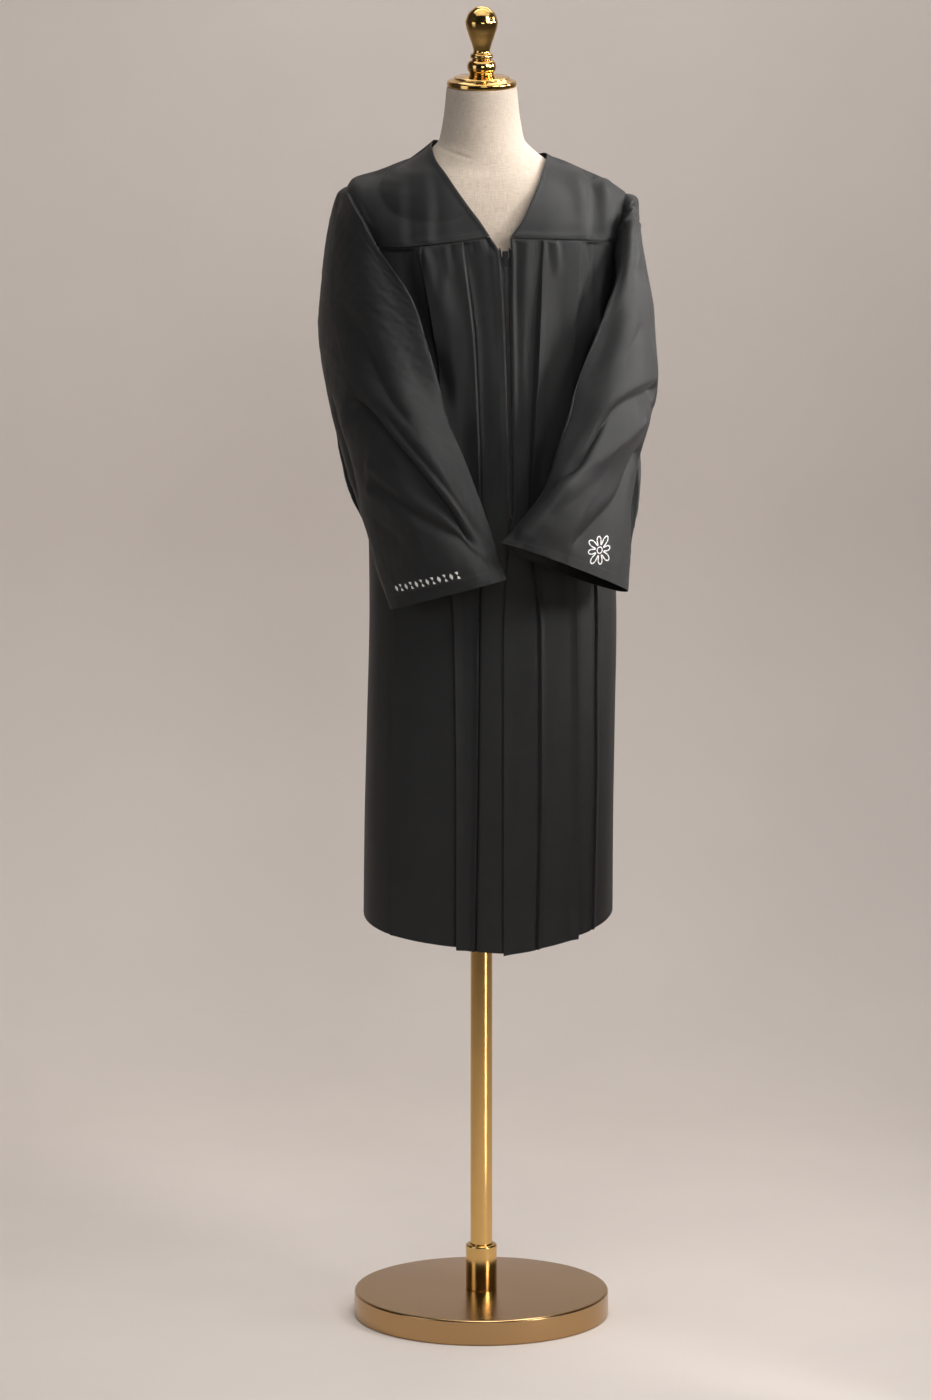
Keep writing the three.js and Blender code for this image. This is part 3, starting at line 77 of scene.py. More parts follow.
NECKLINE = {
    "right": {"t": [0, 0.2, 0.4, 0.6, 0.8, 1], "x": [12, -3, -19, -46, -64, -70], "y": [-113, -107, -98, -76, -42, 0], "z": [1669, 1691, 1711, 1746, 1770, 1793]},
    "left":  {"t": [0, 0.2, 0.4, 0.6, 0.8, 1], "x": [41.5, 59, 72, 84, 92.5, 97], "y": [-113, -107, -96, -76, -42, 0], "z": [1667, 1691, 1717, 1743, 1766, 1775]},
}
BACK_NECK = {"t": [0, 0.17, 0.34, 0.52, 0.68, 0.84, 1], "x": [-70, -62, -35, 10, 52, 82, 97], "y": [0, 38, 66, 76, 68, 40, 0],
             "z": [1793, 1790, 1783, 1780, 1771, 1770, 1775]}
FRONT_EDGE = {"z": [570, 1072, 1162, 1234, 1262, 1378, 1484, 1573, 1612, 1646, 1669],
              "right": [35.6, 35.6, 40.0, 43.4, 41.6, 39.0, 35.5, 31.5, 29.0, 25.5, 12.0],
              "left": [32.6, 32.6, 37.0, 43.8, 46.2, 45.0, 44.0, 43.2, 43.5, 43.0, 41.5]}
YOKE_SEAM = {"right": {"centre": 1669, "shape": 1.2}, "left": {"centre": 1667, "shape": 0.22}, "back": 1658}
HEM = {"right": {"side": 629, "shape": 0.42}, "left": {"side": 633, "shape": 0.6}, "front": 595, "back": 614}

# pleats: x at six heights; lift at the chest and in the skirt; run is the width of the raised side, crisp that of the
# fall; drop is the side the fold falls away to
PLEAT_Z = [600, 850, 1080, 1250, 1500, 1650]
PLEATS = [
    # name, panel, x at PLEAT_Z, lift, low, run, crisp, drop
    ("side_right",  "right", [-136, -134, -132, -128, -122, -128], 4.0, 0.5, 40, 9.0, -1),
    ("bust_right",  "right", [-37, -37, -40, -52, -66, -88],       7.0, 0.55, 34, 8.0, -1),
    ("sharp_right", "right", [-11, -7, -5, -3, -11, -29],          5.5, 0.6, 24, 1.8, 1),
    ("sharp_left",  "left",  [84, 88, 87, 72, 82, 90],             6.5, 0.55, 22, 3.2, -1),
    ("bust_left",   "left",  [142, 142, 140, 128, 134, 144],       7.0, 0.7, 26, 4.0, 1),
    ("side_left",   "left",  [166, 170, 171, 165, 165, 172],       4.0, 0.8, 20, 4.0, -1),
    ("back_1", "back", [-134, -132, -130, -126, -122, -118], 6, 0.6, 30, 4.0, 1),
    ("back_2", "back", [-84, -80, -76, -74, -70, -66],       7, 0.6, 34, 3.0, 1),
    ("back_3", "back", [-28, -26, -25, -24, -22, -22],       8, 0.6, 30, 3.0, 1),
    ("back_4", "back", [46, 44, 45, 42, 38, 38],             8, 0.6, 30, 3.0, -1),
    ("back_5", "back", [101, 98, 97, 90, 86, 84],            7, 0.6, 32, 3.0, -1),
    ("back_6", "back", [152, 150, 148, 140, 134, 132],       6, 0.6, 26, 4.0, -1),
]
# how much higher the hem hangs on the centre's side of a pressed pleat
HEM_STEPS = {"bust_right": -5.0, "bust_left": -5.0, "side_left": -2.0, "sharp_left": -1.5}
# soft folds of the long panels and the yokes: a line down the piece, height (+ ridge, - trough), width towards -X and
# towards +X, and the heights over which it fades in and out
SOFT = [
    # name, panel, [(z, x) downwards], height, width -X, width +X, fade top, fade low
    ("underarm",   "right", [(1648, -121), (1588, -113), (1544, -99), (1507, -84), (1471, -69), (1448, -62), (1400, -50)], -9, 18, 18, 14, 60),
    ("chest_pad",  "right", [(1640, -80), (1589, -58), (1516, -38), (1426, -34), (1350, -30)], 5, 16, 16, 24, 90),
    ("by_sharp",   "right", [(1655, -24), (1583, -7), (1516, 0), (1400, 4), (1300, 8)], -2.0, 8, 11, 10, 120),
    ("by_zip_r",   "right", [(1640, 20), (1573, 26), (1484, 30), (1378, 33), (1250, 36)], 1.6, 6, 4, 12, 60),
    ("small_r",    "right", [(1657, -54), (1630, -50), (1600, -47)], 2.2, 5, 5, 6, 26),
    ("small_r2",   "right", [(1653, -76), (1620, -66), (1570, -60)], -2.6, 4, 6, 6, 40),
    ("tuck_a",     "right", [(1657, -88), (1632, -86), (1600, -84)], -3.2, 2.4, 4.0, 4, 44),
    ("tuck_b",     "right", [(1660, -46), (1642, -44.5), (1625, -43)], -2.2, 2.0, 3.2, 4, 24),
    ("tuck_c",     "right", [(1664, -14), (1650, -13), (1636, -12)], -2.0, 1.8, 3.0, 4, 18),
    ("tuck_d",     "right", [(1665, -2), (1652, -1), (1640, -1)], 1.8, 2.0, 2.6, 4, 18),
    ("tuck_e",     "right", [(1667, 9), (1652, 10), (1640, 11)], -1.8, 1.6, 2.6, 4, 16),
    ("tuck_f",     "left",  [(1662, 97), (1640, 98), (1618, 99)], -2.2, 2.2, 3.2, 4, 30),
    ("tuck_g",     "left",  [(1660, 118), (1640, 119), (1622, 119)], -1.8, 2.0, 3.2, 4, 26),
    ("tuck_h",     "left",  [(1658, 158), (1640, 160), (1615, 161)], -3.4, 3.0, 4.0, 4, 40),
    ("roll_l",     "left",  [(1664, 44.5), (1590, 46), (1457, 47), (1307, 49), (1200, 46)], 2.0, 4, 4.5, 6, 60),
    ("by_roll_l",  "left",  [(1655, 51), (1590, 52), (1457, 54), (1307, 55)], -2.0, 4, 6, 12, 60),
    ("small_l",    "left",  [(1658, 108), (1630, 110), (1600, 111)], 3.0, 4, 7, 6, 30),
    ("small_l2",   "left",  [(1660, 66), (1600, 64), (1540, 62)], 2.0, 8, 8, 10, 60),
    ("big_trough", "left",  [(1655, 173), (1628, 172), (1584, 160), (1555, 152), (1512, 142), (1468, 135), (1431, 132), (1394, 126)], -5, 11, 12, 10, 70),
    ("side_strip", "left",  [(1650, 194), (1611, 188), (1575, 179), (1530, 168), (1480, 156)], 10, 13, 9, 6, 50),
    ("y_trough",   "yoke_left", [(1742, 164), (1717, 169), (1651, 172), (1630, 173)], -7.5, 12, 10, 40, 1),
    ("y_ridge1",   "yoke_left", [(1740, 146), (1726, 150), (1652, 153)], 2.4, 14, 11, 30, 1),
    ("y_ridge2",   "yoke_left", [(1735, 182), (1716, 187), (1655, 190)], 2.8, 9, 9, 20, 1),
    ("y_diag",     "yoke_left", [(1760, 116), (1735, 126), (1698, 141), (1680, 147)], -1.6, 18, 14, 20, 24),
    ("y_light1",   "yoke_right", [(1722, -122), (1712, -121), (1647, -120)], 1.0, 10, 10, 30, 1),
    ("y_dark1",    "yoke_right", [(1735, -106), (1712, -107), (1647, -106)], -1.6, 10, 10, 40, 1),
    ("y_light2",   "yoke_right", [(1745, -82), (1735, -80), (1656, -79)], 1.2, 10, 10, 36, 1),
    ("y_dark2",    "yoke_right", [(1735, -69), (1721, -67), (1656, -66)], -1.4, 9, 11, 34, 1),
    ("y_diag_r",   "yoke_right", [(1760, -150), (1735, -158), (1700, -168), (1670, -170)], -2.0, 16, 18, 20, 20),
    ("yb_1",       "yoke_back", [(1750, -120), (1700, -112), (1650, -108)], -3.0, 10, 12, 36, 1),
    ("yb_2",       "yoke_back", [(1745, -24), (1700, -22), (1655, -22)], 2.0, 9, 9, 36, 1),
    ("yb_3",       "yoke_back", [(1745, 66), (1700, 62), (1655, 60)], -3.0, 10, 10, 36, 1),
    ("yb_4",       "yoke_back", [(1745, 140), (1700, 146), (1650, 148)], -3.5, 9, 12, 36, 1),
    ("b_1",        "back", [(1640, -150), (1560, -142), (1450, -136), (1350, -134)], -9, 14, 16, 20, 80),
    ("b_2",        "back", [(1640, 158), (1560, 150), (1450, 144), (1350, 142)], -9, 14, 16, 20, 80),
    ("b_3",        "back", [(1650, 8), (1560, 10), (1400, 10), (1200, 10)], 3, 16, 16, 20, 120),
]

SLEEVE = {
    "right": {
        "s":     [0.06, 0.16, 0.28, 0.40, 0.52, 0.64, 0.76, 0.88, 1.00],
        "crown": [(-209, -5, 1716), (-217, -24, 1676), (-221, -45, 1607), (-220, -62, 1548), (-205, -85, 1479), (-182, -128, 1412), (-140, -170, 1345), (-95, -205, 1249), (-48, -222, 1152)],
        "fore":  [(-136, -114, 1620), (-114, -126, 1598), (-95, -133, 1563), (-80, -140, 1516), (-63, -150, 1457), (-48, -164, 1402), (-22, -182, 1341), (7, -195, 1261), (36, -205, 1172)],
        "under": [(-188, 0, 1456), (-186, -4, 1439), (-180, -12, 1422), (-172, -25, 1410), (-160, -45, 1380), (-140, -75, 1341), (-105, -105, 1286), (-75, -125, 1212), (-48, -152, 1147)],
        "rear":  [(-186, 98, 1607), (-194, 106, 1582), (-202, 104, 1546), (-208, 95, 1494), (-212, 76, 1429), (-208, 45, 1360), (-203, 5, 1296), (-176, -70, 1217), (-134, -150, 1117)],
    },
    "left": {
        "s":     [0.06, 0.16, 0.28, 0.40, 0.52, 0.64, 0.76, 0.88, 1.00],
        "crown": [(226, -4, 1708), (233, -14, 1674), (243, -34, 1607), (251, -55, 1543), (249, -80, 1477), (235, -115, 1410), (187, -165, 1333), (150, -200, 1261), (121, -215, 1198)],
        "fore":  [(202, -66, 1619), (197, -93, 1597), (183, -116, 1563), (164, -130, 1518), (141, -141, 1461), (122, -153, 1398), (97, -172, 1315), (60, -192, 1261), (27, -205, 1227)],
        "under": [(206, 0, 1454), (204, -4, 1439), (200, -12, 1420), (194, -25, 1402), (180, -45, 1372), (165, -75, 1336), (150, -105, 1273), (135, -130, 1222), (116, -150, 1172)],
        "rear":  [(200, 98, 1607), (207, 106, 1579), (214, 104, 1543), (221, 95, 1489), (228, 76, 1425), (231, 45, 1360), (233, 5, 1296), (226, -60, 1217), (217, -120, 1139)],
    },
}
# folds of the sleeves: a line by place down the sleeve and angle round it, depth (+ ridge, - trough), and its width on
# the side towards the cap and the side towards the hem
SLEEVE_FOLDS = [
    # sleeve, name, [(s, a)], depth, width cap side, width hem side, fade in, fade out
    ("right", "upper",   [(0.34, 4), (0.43, 20), (0.53, 27), (0.605, 33), (0.66, 41), (0.72, 48)], -10, 15, 20, 0.30, 0.30),
    ("right", "thin",    [(0.60, 18), (0.68, 23), (0.767, 31), (0.855, 55), (0.93, 74)], -6, 7, 6, 0.25, 0.15),
    ("right", "deep",    [(0.60, -8), (0.62, -3), (0.665, 6), (0.726, 10), (0.803, 20), (0.881, 42), (0.95, 68)], -21, 9, 30, 0.22, 0.12),
    ("right", "between", [(0.66, 14), (0.73, 20), (0.80, 32), (0.88, 56)], 2.5, 6, 6, 0.3, 0.3),
    ("right", "ridge",   [(0.76, -24), (0.772, -20), (0.819, -1), (0.865, 24), (0.928, 52), (0.97, 66)], 4, 12, 14, 0.15, 0.15),
    ("right", "second",  [(0.79, -26), (0.803, -22), (0.865, 6), (0.913, 33), (0.976, 66)], -6, 8, 16, 0.2, 0.12),
    ("right", "low_ridge", [(0.80, -36), (0.817, -31), (0.855, -10), (0.93, 18)], 2.5, 10, 12, 0.25, 0.3),
    ("right", "low",     [(0.855, -46), (0.881, -29), (0.913, -20)], -3, 9, 15, 0.3, 0.3),
    ("right", "faint",   [(0.49, -26), (0.503, -16), (0.526, 7), (0.55, 14)], 1.6, 12, 10, 0.3, 0.3),
    ("right", "faint_2", [(0.54, -34), (0.56, -20), (0.585, -2)], -1.6, 11, 12, 0.3, 0.3),
    ("right", "cap",     [(0.06, -4), (0.113, 1), (0.182, 27), (0.24, 44)], -3, 16, 16, 0.3, 0.35),
    ("right", "cap_2",   [(0.06, 30), (0.14, 50), (0.24, 66)], -2.5, 14, 15, 0.3, 0.4),
    ("right", "r_1",     [(0.36, 214), (0.48, 224), (0.62, 236), (0.78, 246), (0.92, 252)], -14, 16, 26, 0.25, 0.2),
    ("right", "r_2",     [(0.52, 304), (0.62, 296), (0.74, 288), (0.86, 282), (0.95, 278)], -10, 12, 22, 0.25, 0.2),
    ("right", "r_3",     [(0.58, 330), (0.66, 322), (0.76, 312), (0.86, 300)], -7, 10, 16, 0.25, 0.25),
    ("right", "r_4",     [(0.14, 262), (0.26, 276), (0.40, 286), (0.52, 292)], -9, 16, 18, 0.3, 0.3),
    ("right", "r_5",     [(0.10, 318), (0.20, 316), (0.32, 312)], -6, 13, 14, 0.3, 0.4),
    ("right", "u_1",     [(0.40, 180), (0.55, 196), (0.72, 214), (0.9, 228)], -9, 16, 18, 0.25, 0.2),
    ("left", "elbow",    [(0.575, -34), (0.59, -24), (0.62, 17), (0.665, 40), (0.726, 54), (0.78, 64)], -17, 9, 26, 0.12, 0.2),
    ("left", "over",     [(0.56, -30), (0.57, -10), (0.59, 20), (0.63, 44), (0.69, 58)], 2, 12, 9, 0.2, 0.25),
    ("left", "flap",     [(0.655, -20), (0.665, -13), (0.741, 17), (0.772, 45), (0.85, 61), (0.976, 70)], 6, 12, 24, 0.15, 0.08),
    ("left", "lower",    [(0.72, -44), (0.741, -36), (0.819, -31), (0.881, -15), (0.96, 1)], -10, 10, 20, 0.15, 0.15),
    ("left", "mid",      [(0.80, 10), (0.85, 24), (0.90, 40)], -2.5, 10, 16, 0.3, 0.3),
    ("left", "short",    [(0.41, 20), (0.429, 24), (0.487, 33), (0.52, 38)], -1.8, 8, 10, 0.3, 0.3),
    ("left", "short_2",  [(0.34, 6), (0.42, -4), (0.50, -10)], -1.8, 10, 12, 0.3, 0.3),
    ("left", "upper",    [(0.20, 30), (0.34, 38), (0.46, 50), (0.56, 62)], 1.5, 20, 18, 0.3, 0.3),
    ("left", "edge",     [(0.30, 70), (0.44, 80), (0.58, 88), (0.68, 96)], -2, 15, 15, 0.3, 0.3),
    ("left", "hollow",   [(0.022, 26), (0.055, 22), (0.09, 14), (0.12, 5)], -12, 11, 8, 0.2, 0.25),
    ("left", "by_seam",  [(0.035, 40), (0.035, 58), (0.045, 78), (0.07, 98)], 9, 16, 24, 0.3, 0.3),
    ("left", "hollow_rim", [(0.02, 4), (0.07, -4), (0.13, -10), (0.18, -12)], 3, 12, 12, 0.3, 0.3),
    ("left", "hollow_low", [(0.045, 52), (0.08, 43), (0.135, 28), (0.165, 8)], 5.5, 6, 14, 0.25, 0.25),
    ("left", "r_1",      [(0.38, 222), (0.50, 230), (0.64, 240), (0.80, 250), (0.92, 256)], -14, 18, 22, 0.25, 0.2),
    ("left", "r_2",      [(0.55, 272), (0.66, 268), (0.80, 264), (0.94, 260)], -9, 14, 18, 0.25, 0.2),
    ("left", "r_3",      [(0.60, 318), (0.68, 308), (0.78, 298), (0.88, 292)], -7, 12, 14, 0.25, 0.25),
    ("left", "r_4",      [(0.14, 262), (0.26, 276), (0.40, 286), (0.52, 290)], -9, 16, 18, 0.3, 0.3),
    ("left", "r_5",      [(0.12, 318), (0.22, 314), (0.34, 310)], -6, 13, 14, 0.3, 0.4),
    ("left", "u_1",      [(0.40, 180), (0.55, 196), (0.72, 214), (0.9, 228)], -9, 16, 18, 0.25, 0.2),
]

# ------------------------------------------------------------------ small tools
rng = np.random.default_rng(7)


def curve(xs, ys):
    """A smooth curve through a table, with no overshoot between its rows."""
    xs, ys = np.array(xs, float), np.array(ys, float)
    n = len(xs)
    d = np.diff(ys) / np.diff(xs)
    m = np.empty(n)
    m[0], m[-1] = d[0], d[-1]
    for i in range(1, n - 1):
        if d[i - 1] * d[i] <= 0:
            m[i] = 0
        else:
            h0, h1 = xs[i] - xs[i - 1], xs[i + 1] - xs[i]
            w0, w1 = 2 * h1 + h0, h1 + 2 * h0
            m[i] = (w0 + w1) / (w0 / d[i - 1] + w1 / d[i])

    def f(at):
        a = np.clip(np.asarray(at, float), xs[0], xs[-1])
        i = np.clip(np.searchsorted(xs, a, side="right") - 1, 0, n - 2)
        h = xs[i + 1] - xs[i]
        t = (a - xs[i]) / h
        t2, t3 = t * t, t * t * t
        return ys[i] * (2 * t3 - 3 * t2 + 1) + h * m[i] * (t3 - 2 * t2 + t) + ys[i + 1] * (3 * t2 - 2 * t3) + h * m[i + 1] * (t3 - t2)

    return f


def point_curve(xs, points):
    p = np.array(points, float)
    parts = [curve(xs, p[:, k]) for k in range(3)]
    return lambda at: np.stack([f(at) for f in parts], axis=-1)


def ease(t):
    c = np.clip(t, 0, 1)
    return c * c * (3 - 2 * c)


def lerp(a, b, t):
    return a + (b - a) * t


def unit(v):
    return v / np.maximum(np.linalg.norm(v, axis=-1, keepdims=True), 1e-9)


body_at = {k: curve(BODY["z"], BODY[k]) for k in ("cx", "half", "front", "back")}
form_at = {k: curve(FORM["z"], FORM[k]) for k in ("half", "front", "back")}
form_n = curve(FORM_N["z"], FORM_N["n"])


def body_share(p):
    x, y, z = p[..., 0], p[..., 1], p[..., 2]
    b = np.where(y < 0, body_at["front"](z), body_at["back"](z))
    return (np.abs((x - body_at["cx"](z)) / body_at["half"](z)) ** FULLNESS + np.abs(y / b) ** FULLNESS) ** (1 / FULLNESS)


def form_share(p):
    x, y, z = p[..., 0], p[..., 1], p[..., 2]
    b = np.where(y < 0, form_at["front"](z), form_at["back"](z))
    n = form_n(z)
    return (np.abs(x / form_at["half"](z)) ** n + np.abs(y / b) ** n) ** (1 / n)


def keep_off(p, share, away):
    """Moves points out until they are at least `away` from that surface."""
    q = np.array(p, float)
    away = np.broadcast_to(away, q.shape[:-1])
    for _ in range(6):
        f = share(q)
        g = np.empty_like(q)
        for i in range(3):
            a, b = q.copy(), q.copy()
            a[..., i] += 0.5
            b[..., i] -= 0.5
            g[..., i] = share(a) - share(b)
        steep = np.maximum(np.linalg.norm(g, axis=-1), 1e-6)
        need = np.maximum(away - (f - 1) / steep, 0)
        if need.max() < 0.01:
            break
        q += g * (need / steep)[..., None]
    return q


def body_point(phi, z, lift=0.0):
    s, c = np.sin(phi), np.cos(phi)
    b = np.where(c > 0, body_at["front"](z), body_at["back"](z))
    r = (np.abs(s / body_at["half"](z)) ** FULLNESS + np.abs(c / b) ** FULLNESS) ** (-1 / FULLNESS) + lift
    return np.stack([body_at["cx"](z) + r * s, -r * c, z + 0 * r], axis=-1)


def phi_at_x(x, z, back=False):
    lo, hi = np.full(np.shape(x + z), -math.pi / 2), np.full(np.shape(x + z), math.pi / 2)
    for _ in range(40):
        mid = (lo + hi) / 2
        left = body_point(math.pi - mid if back else mid, z)[..., 0] < x
        lo, hi = np.where(left, mid, lo), np.where(left, hi, mid)
    mid = (lo + hi) / 2
    return math.pi - mid if back else mid


def phi_at_y(y, z, side):
    lo, hi = np.zeros(np.shape(y + z)), np.full(np.shape(y + z), math.pi)
    for _ in range(40):
        mid = (lo + hi) / 2
        low = body_point(mid, z)[..., 1] < y
        lo, hi = np.where(low, mid, lo), np.where(low, hi, mid)
    return side * (lo + hi) / 2


def armhole_point(which, k, inset=0.0, lift=0.0):
    a = ARMHOLE[which]
    angle = 2 * math.pi * np.asarray(k, float) / AROUND
    r = (a["top"] - a["bottom"]) / 2 - inset
    y = -np.where(np.sin(angle) > 0, a["front"] - inset, a["back"] - inset) * np.sin(angle)
    z = (a["top"] + a["bottom"]) / 2 + r * np.cos(angle)
    return body_point(phi_at_y(y, z, a["side"]), z, lift)


def armhole_phi(which, k):
    p = armhole_point(which, k)
    return phi_at_y(p[..., 1], p[..., 2], ARMHOLE[which]["side"])


def waves(a, b, seed, size, count=7):
    """Slow uneven waves over two coordinates in mm, between about -1 and 1."""
    r = np.random.default_rng(seed)
    out = 0
    for _ in range(count):
        t = r.uniform(0, 2 * math.pi)
        k = 2 * math.pi / (size * r.uniform(0.6, 1.7))
        out = out + r.uniform(0.5, 1) * np.sin(k * (a * math.cos(t) + b * math.sin(t)) + r.uniform(0, 6.28))
    return out / (0.5 * count)


def bump(t, w):
    """1 at 0, falling smoothly to 0 at about twice the width."""
    return np.exp(-np.minimum((t / w) ** 2, 30))


def soft_lift(panel, x, z):
    out = np.zeros(np.shape(x))
    for name, where, line, height, wa, wb, top, low in SOFT:
        if where != panel:
            continue
        zs = [p[0] for p in line][::-1]
        xs = [p[1] for p in line][::-1]
        t = x - curve(zs, xs)(z)
        fade = ease((zs[-1] + top - z) / max(top, 1e-6)) * ease((z - zs[0]) / max(low, 1e-6) + (0.5 if low <= 1 else 0))
        out = out + height * np.where(t < 0, bump(t, wa), bump(t, wb)) * fade
    return out


# ------------------------------------------------------------------ meshes
def grid_normals(P, wrap):
    if wrap:
        ahead, behind = np.roll(P, -1, axis=1), np.roll(P, 1, axis=1)
    else:
        ahead = np.concatenate([P[:, 1:], P[:, -1:]], axis=1)
        behind = np.concatenate([P[:, :1], P[:, :-1]], axis=1)
    up = np.concatenate([P[1:], P[-1:]], axis=0)
    down = np.concatenate([P[:1], P[:-1]], axis=0)
    return unit(np.cross(ahead - behind, up - down))


def mesh_object(name, verts, faces, uv=None, sharp=None, smooth=True):
    """verts in mm, faces as one array of quads or a list of arrays of equal-sized faces."""
    groups = faces if isinstance(faces, list) else [faces]
    loops = np.concatenate([f.reshape(-1) for f in groups]).astype(np.int32)
    sizes = np.concatenate([np.full(len(f), f.shape[1]) for f in groups]).astype(np.int32)
    starts = np.concatenate([[0], np.cumsum(sizes)[:-1]]).astype(np.int32)
    me = bpy.data.meshes.new(name)
    me.vertices.add(len(verts))
    me.vertices.foreach_set("co", (np.asarray(verts, float) * MM).astype(np.float32).reshape(-1))
    me.loops.add(len(loops))
    me.loops.foreach_set("vertex_index", loops)
    me.polygons.add(len(sizes))
    me.polygons.foreach_set("loop_start", starts)
    me.update(calc_edges=True)
    me.polygons.foreach_set("use_smooth", np.full(len(sizes), smooth))
    if uv is not None:
        layer = me.uv_layers.new(name="UVMap")
        layer.data.foreach_set("uv", np.asarray(uv, float)[loops].astype(np.float32).reshape(-1))
    if sharp is not None:
        edges = np.empty(len(me.edges) * 2, np.int32)
        me.edges.foreach_get("vertices", edges)
        edges = edges.reshape(-1, 2)
        flag = sharp[edges[:, 0]] & sharp[edges[:, 1]]
        attr = me.attributes.new("sharp_edge", "BOOLEAN", "EDGE")
        attr.data.foreach_set("value", flag)
    me.validate()
    me.update()
    ob = bpy.data.objects.new(name, me)
    bpy.context.scene.collection.objects.link(ob)
    return ob


def volume_of(verts, quads):
    a, b, c, d = (verts[quads[:, k]] for k in range(4))
    return float(np.sum(np.einsum("ij,ij->i", a, np.cross(b, c)) + np.einsum("ij,ij->i", a, np.cross(c, d))))


def shell(name, P, wrap, thick=WALL, sign=1.0, uv_scale=1.0):
    """A closed thin shell behind the outer face P (rows, columns, 3) in mm; sign turns the grid's normal outwards."""
    rows, cols = P.shape[:2]
    N = grid_normals(P, wrap) * sign
    inner = P - N * thick
    verts = np.concatenate([P.reshape(-1, 3), inner.reshape(-1, 3)])
    n = rows * cols
    last = cols if wrap else cols - 1
    i, j = np.meshgrid(np.arange(rows - 1), np.arange(last), indexing="ij")
    i, j = i.reshape(-1), j.reshape(-1)
    j1 = (j + 1) % cols
    a, b, c, d = i * cols + j, i * cols + j1, (i + 1) * cols + j1, (i + 1) * cols + j
    quads = [np.stack([a, b, c, d], 1), np.stack([a + n, d + n, c + n, b + n], 1)]
    j = np.arange(last)
    j1 = (j + 1) % cols
    r = (rows - 1) * cols
    quads.append(np.stack([j, j + n, j1 + n, j1], 1))
    quads.append(np.stack([r + j, r + j1, r + j1 + n, r + j + n], 1))
    if not wrap:
        i = np.arange(rows - 1)
        a, b = i * cols, (i + 1) * cols
        quads.append(np.stack([a, b, b + n, a + n], 1))
        a, b = i * cols + cols - 1, (i + 1) * cols + cols - 1
        quads.append(np.stack([a, a + n, b + n, b], 1))
    quads = np.concatenate(quads)
    if volume_of(verts, quads) < 0:
        quads = quads[:, ::-1]
    # lengths along the cloth, for its weave
    du = np.linalg.norm(np.diff(P, axis=1), axis=-1).mean(axis=0)
    dv = np.linalg.norm(np.diff(P, axis=0), axis=-1).mean(axis=1)
    u = np.concatenate([[0], np.cumsum(du)])[:cols]
    v = np.concatenate([[0], np.cumsum(dv)])
    uu, vv = np.meshgrid(u, v)
    uv = np.stack([uu.reshape(-1), vv.reshape(-1)], 1) * MM * uv_scale
    uv = np.concatenate([uv, uv])
    edge = np.zeros((rows, cols), bool)
    edge[0] = edge[-1] = True
    if not wrap:
        edge[:, 0] = edge[:, -1] = True
    edge = np.concatenate([edge.reshape(-1), edge.reshape(-1)])
    ob = mesh_object(name, verts, quads, uv, edge)
    ob["grid_rows"] = rows
    return ob


class Surface:
    """The outer face of a piece, to place things on it by row and column (fractions of its grid)."""

    def __init__(self, P, wrap, sign):
        self.P, self.wrap = P, wrap
        self.N = grid_normals(P, wrap) * sign

    def at(self, i, j, lift=0.0):
        i, j = np.asarray(i, float), np.asarray(j, float)
        rows, cols = self.P.shape[:2]
        i = np.clip(i, 0, rows - 1.001)
        j = np.mod(j, cols) if self.wrap else np.clip(j, 0, cols - 1.001)
        i0, j0 = np.floor(i).astype(int), np.floor(j).astype(int)
        a, b = (i - i0)[..., None], (j - j0)[..., None]
        i1, j1 = i0 + 1, (j0 + 1) % cols if self.wrap else j0 + 1

        def mix(G):
            return (G[i0, j0] * (1 - a) + G[i1, j0] * a) * (1 - b) + (G[i0, j1] * (1 - a) + G[i1, j1] * a) * b

        return mix(self.P) + unit(mix(self.N)) * np.asarray(lift, float)[..., None]

    def normal(self, i, j):
        return unit(self.at(i, j, 1.0) - self.at(i, j, 0.0))


# ------------------------------------------------------------------ materials
def new_material(name):
    m = bpy.data.materials.new(name)
    m.use_nodes = True
    nt = m.node_tree
    for n in list(nt.nodes):
        nt.nodes.remove(n)
    out = nt.nodes.new("ShaderNodeOutputMaterial")
    b = nt.nodes.new("ShaderNodeBsdfPrincipled")
    nt.links.new(b.outputs["BSDF"], out.inputs["Surface"])
    return m, nt, b


def node(nt, kind, **values):
    n = nt.nodes.new(kind)
    for k, v in values.items():
        if k in n.inputs:
            n.inputs[k].default_value = v
        else:
            setattr(n, k, v)
    return n


def ramp(nt, source, stops):
    r = nt.nodes.new("ShaderNodeValToRGB")
    el = r.color_ramp.elements
    while len(el) > 1:
        el.remove(el[-1])
    el[0].position, el[0].color = stops[0][0], (*stops[0][1], 1)
    for pos, col in stops[1:]:
        e = el.new(pos)
        e.color = (*col, 1)
    nt.links.new(source, r.inputs["Fac"])
    return r.outputs["Color"]


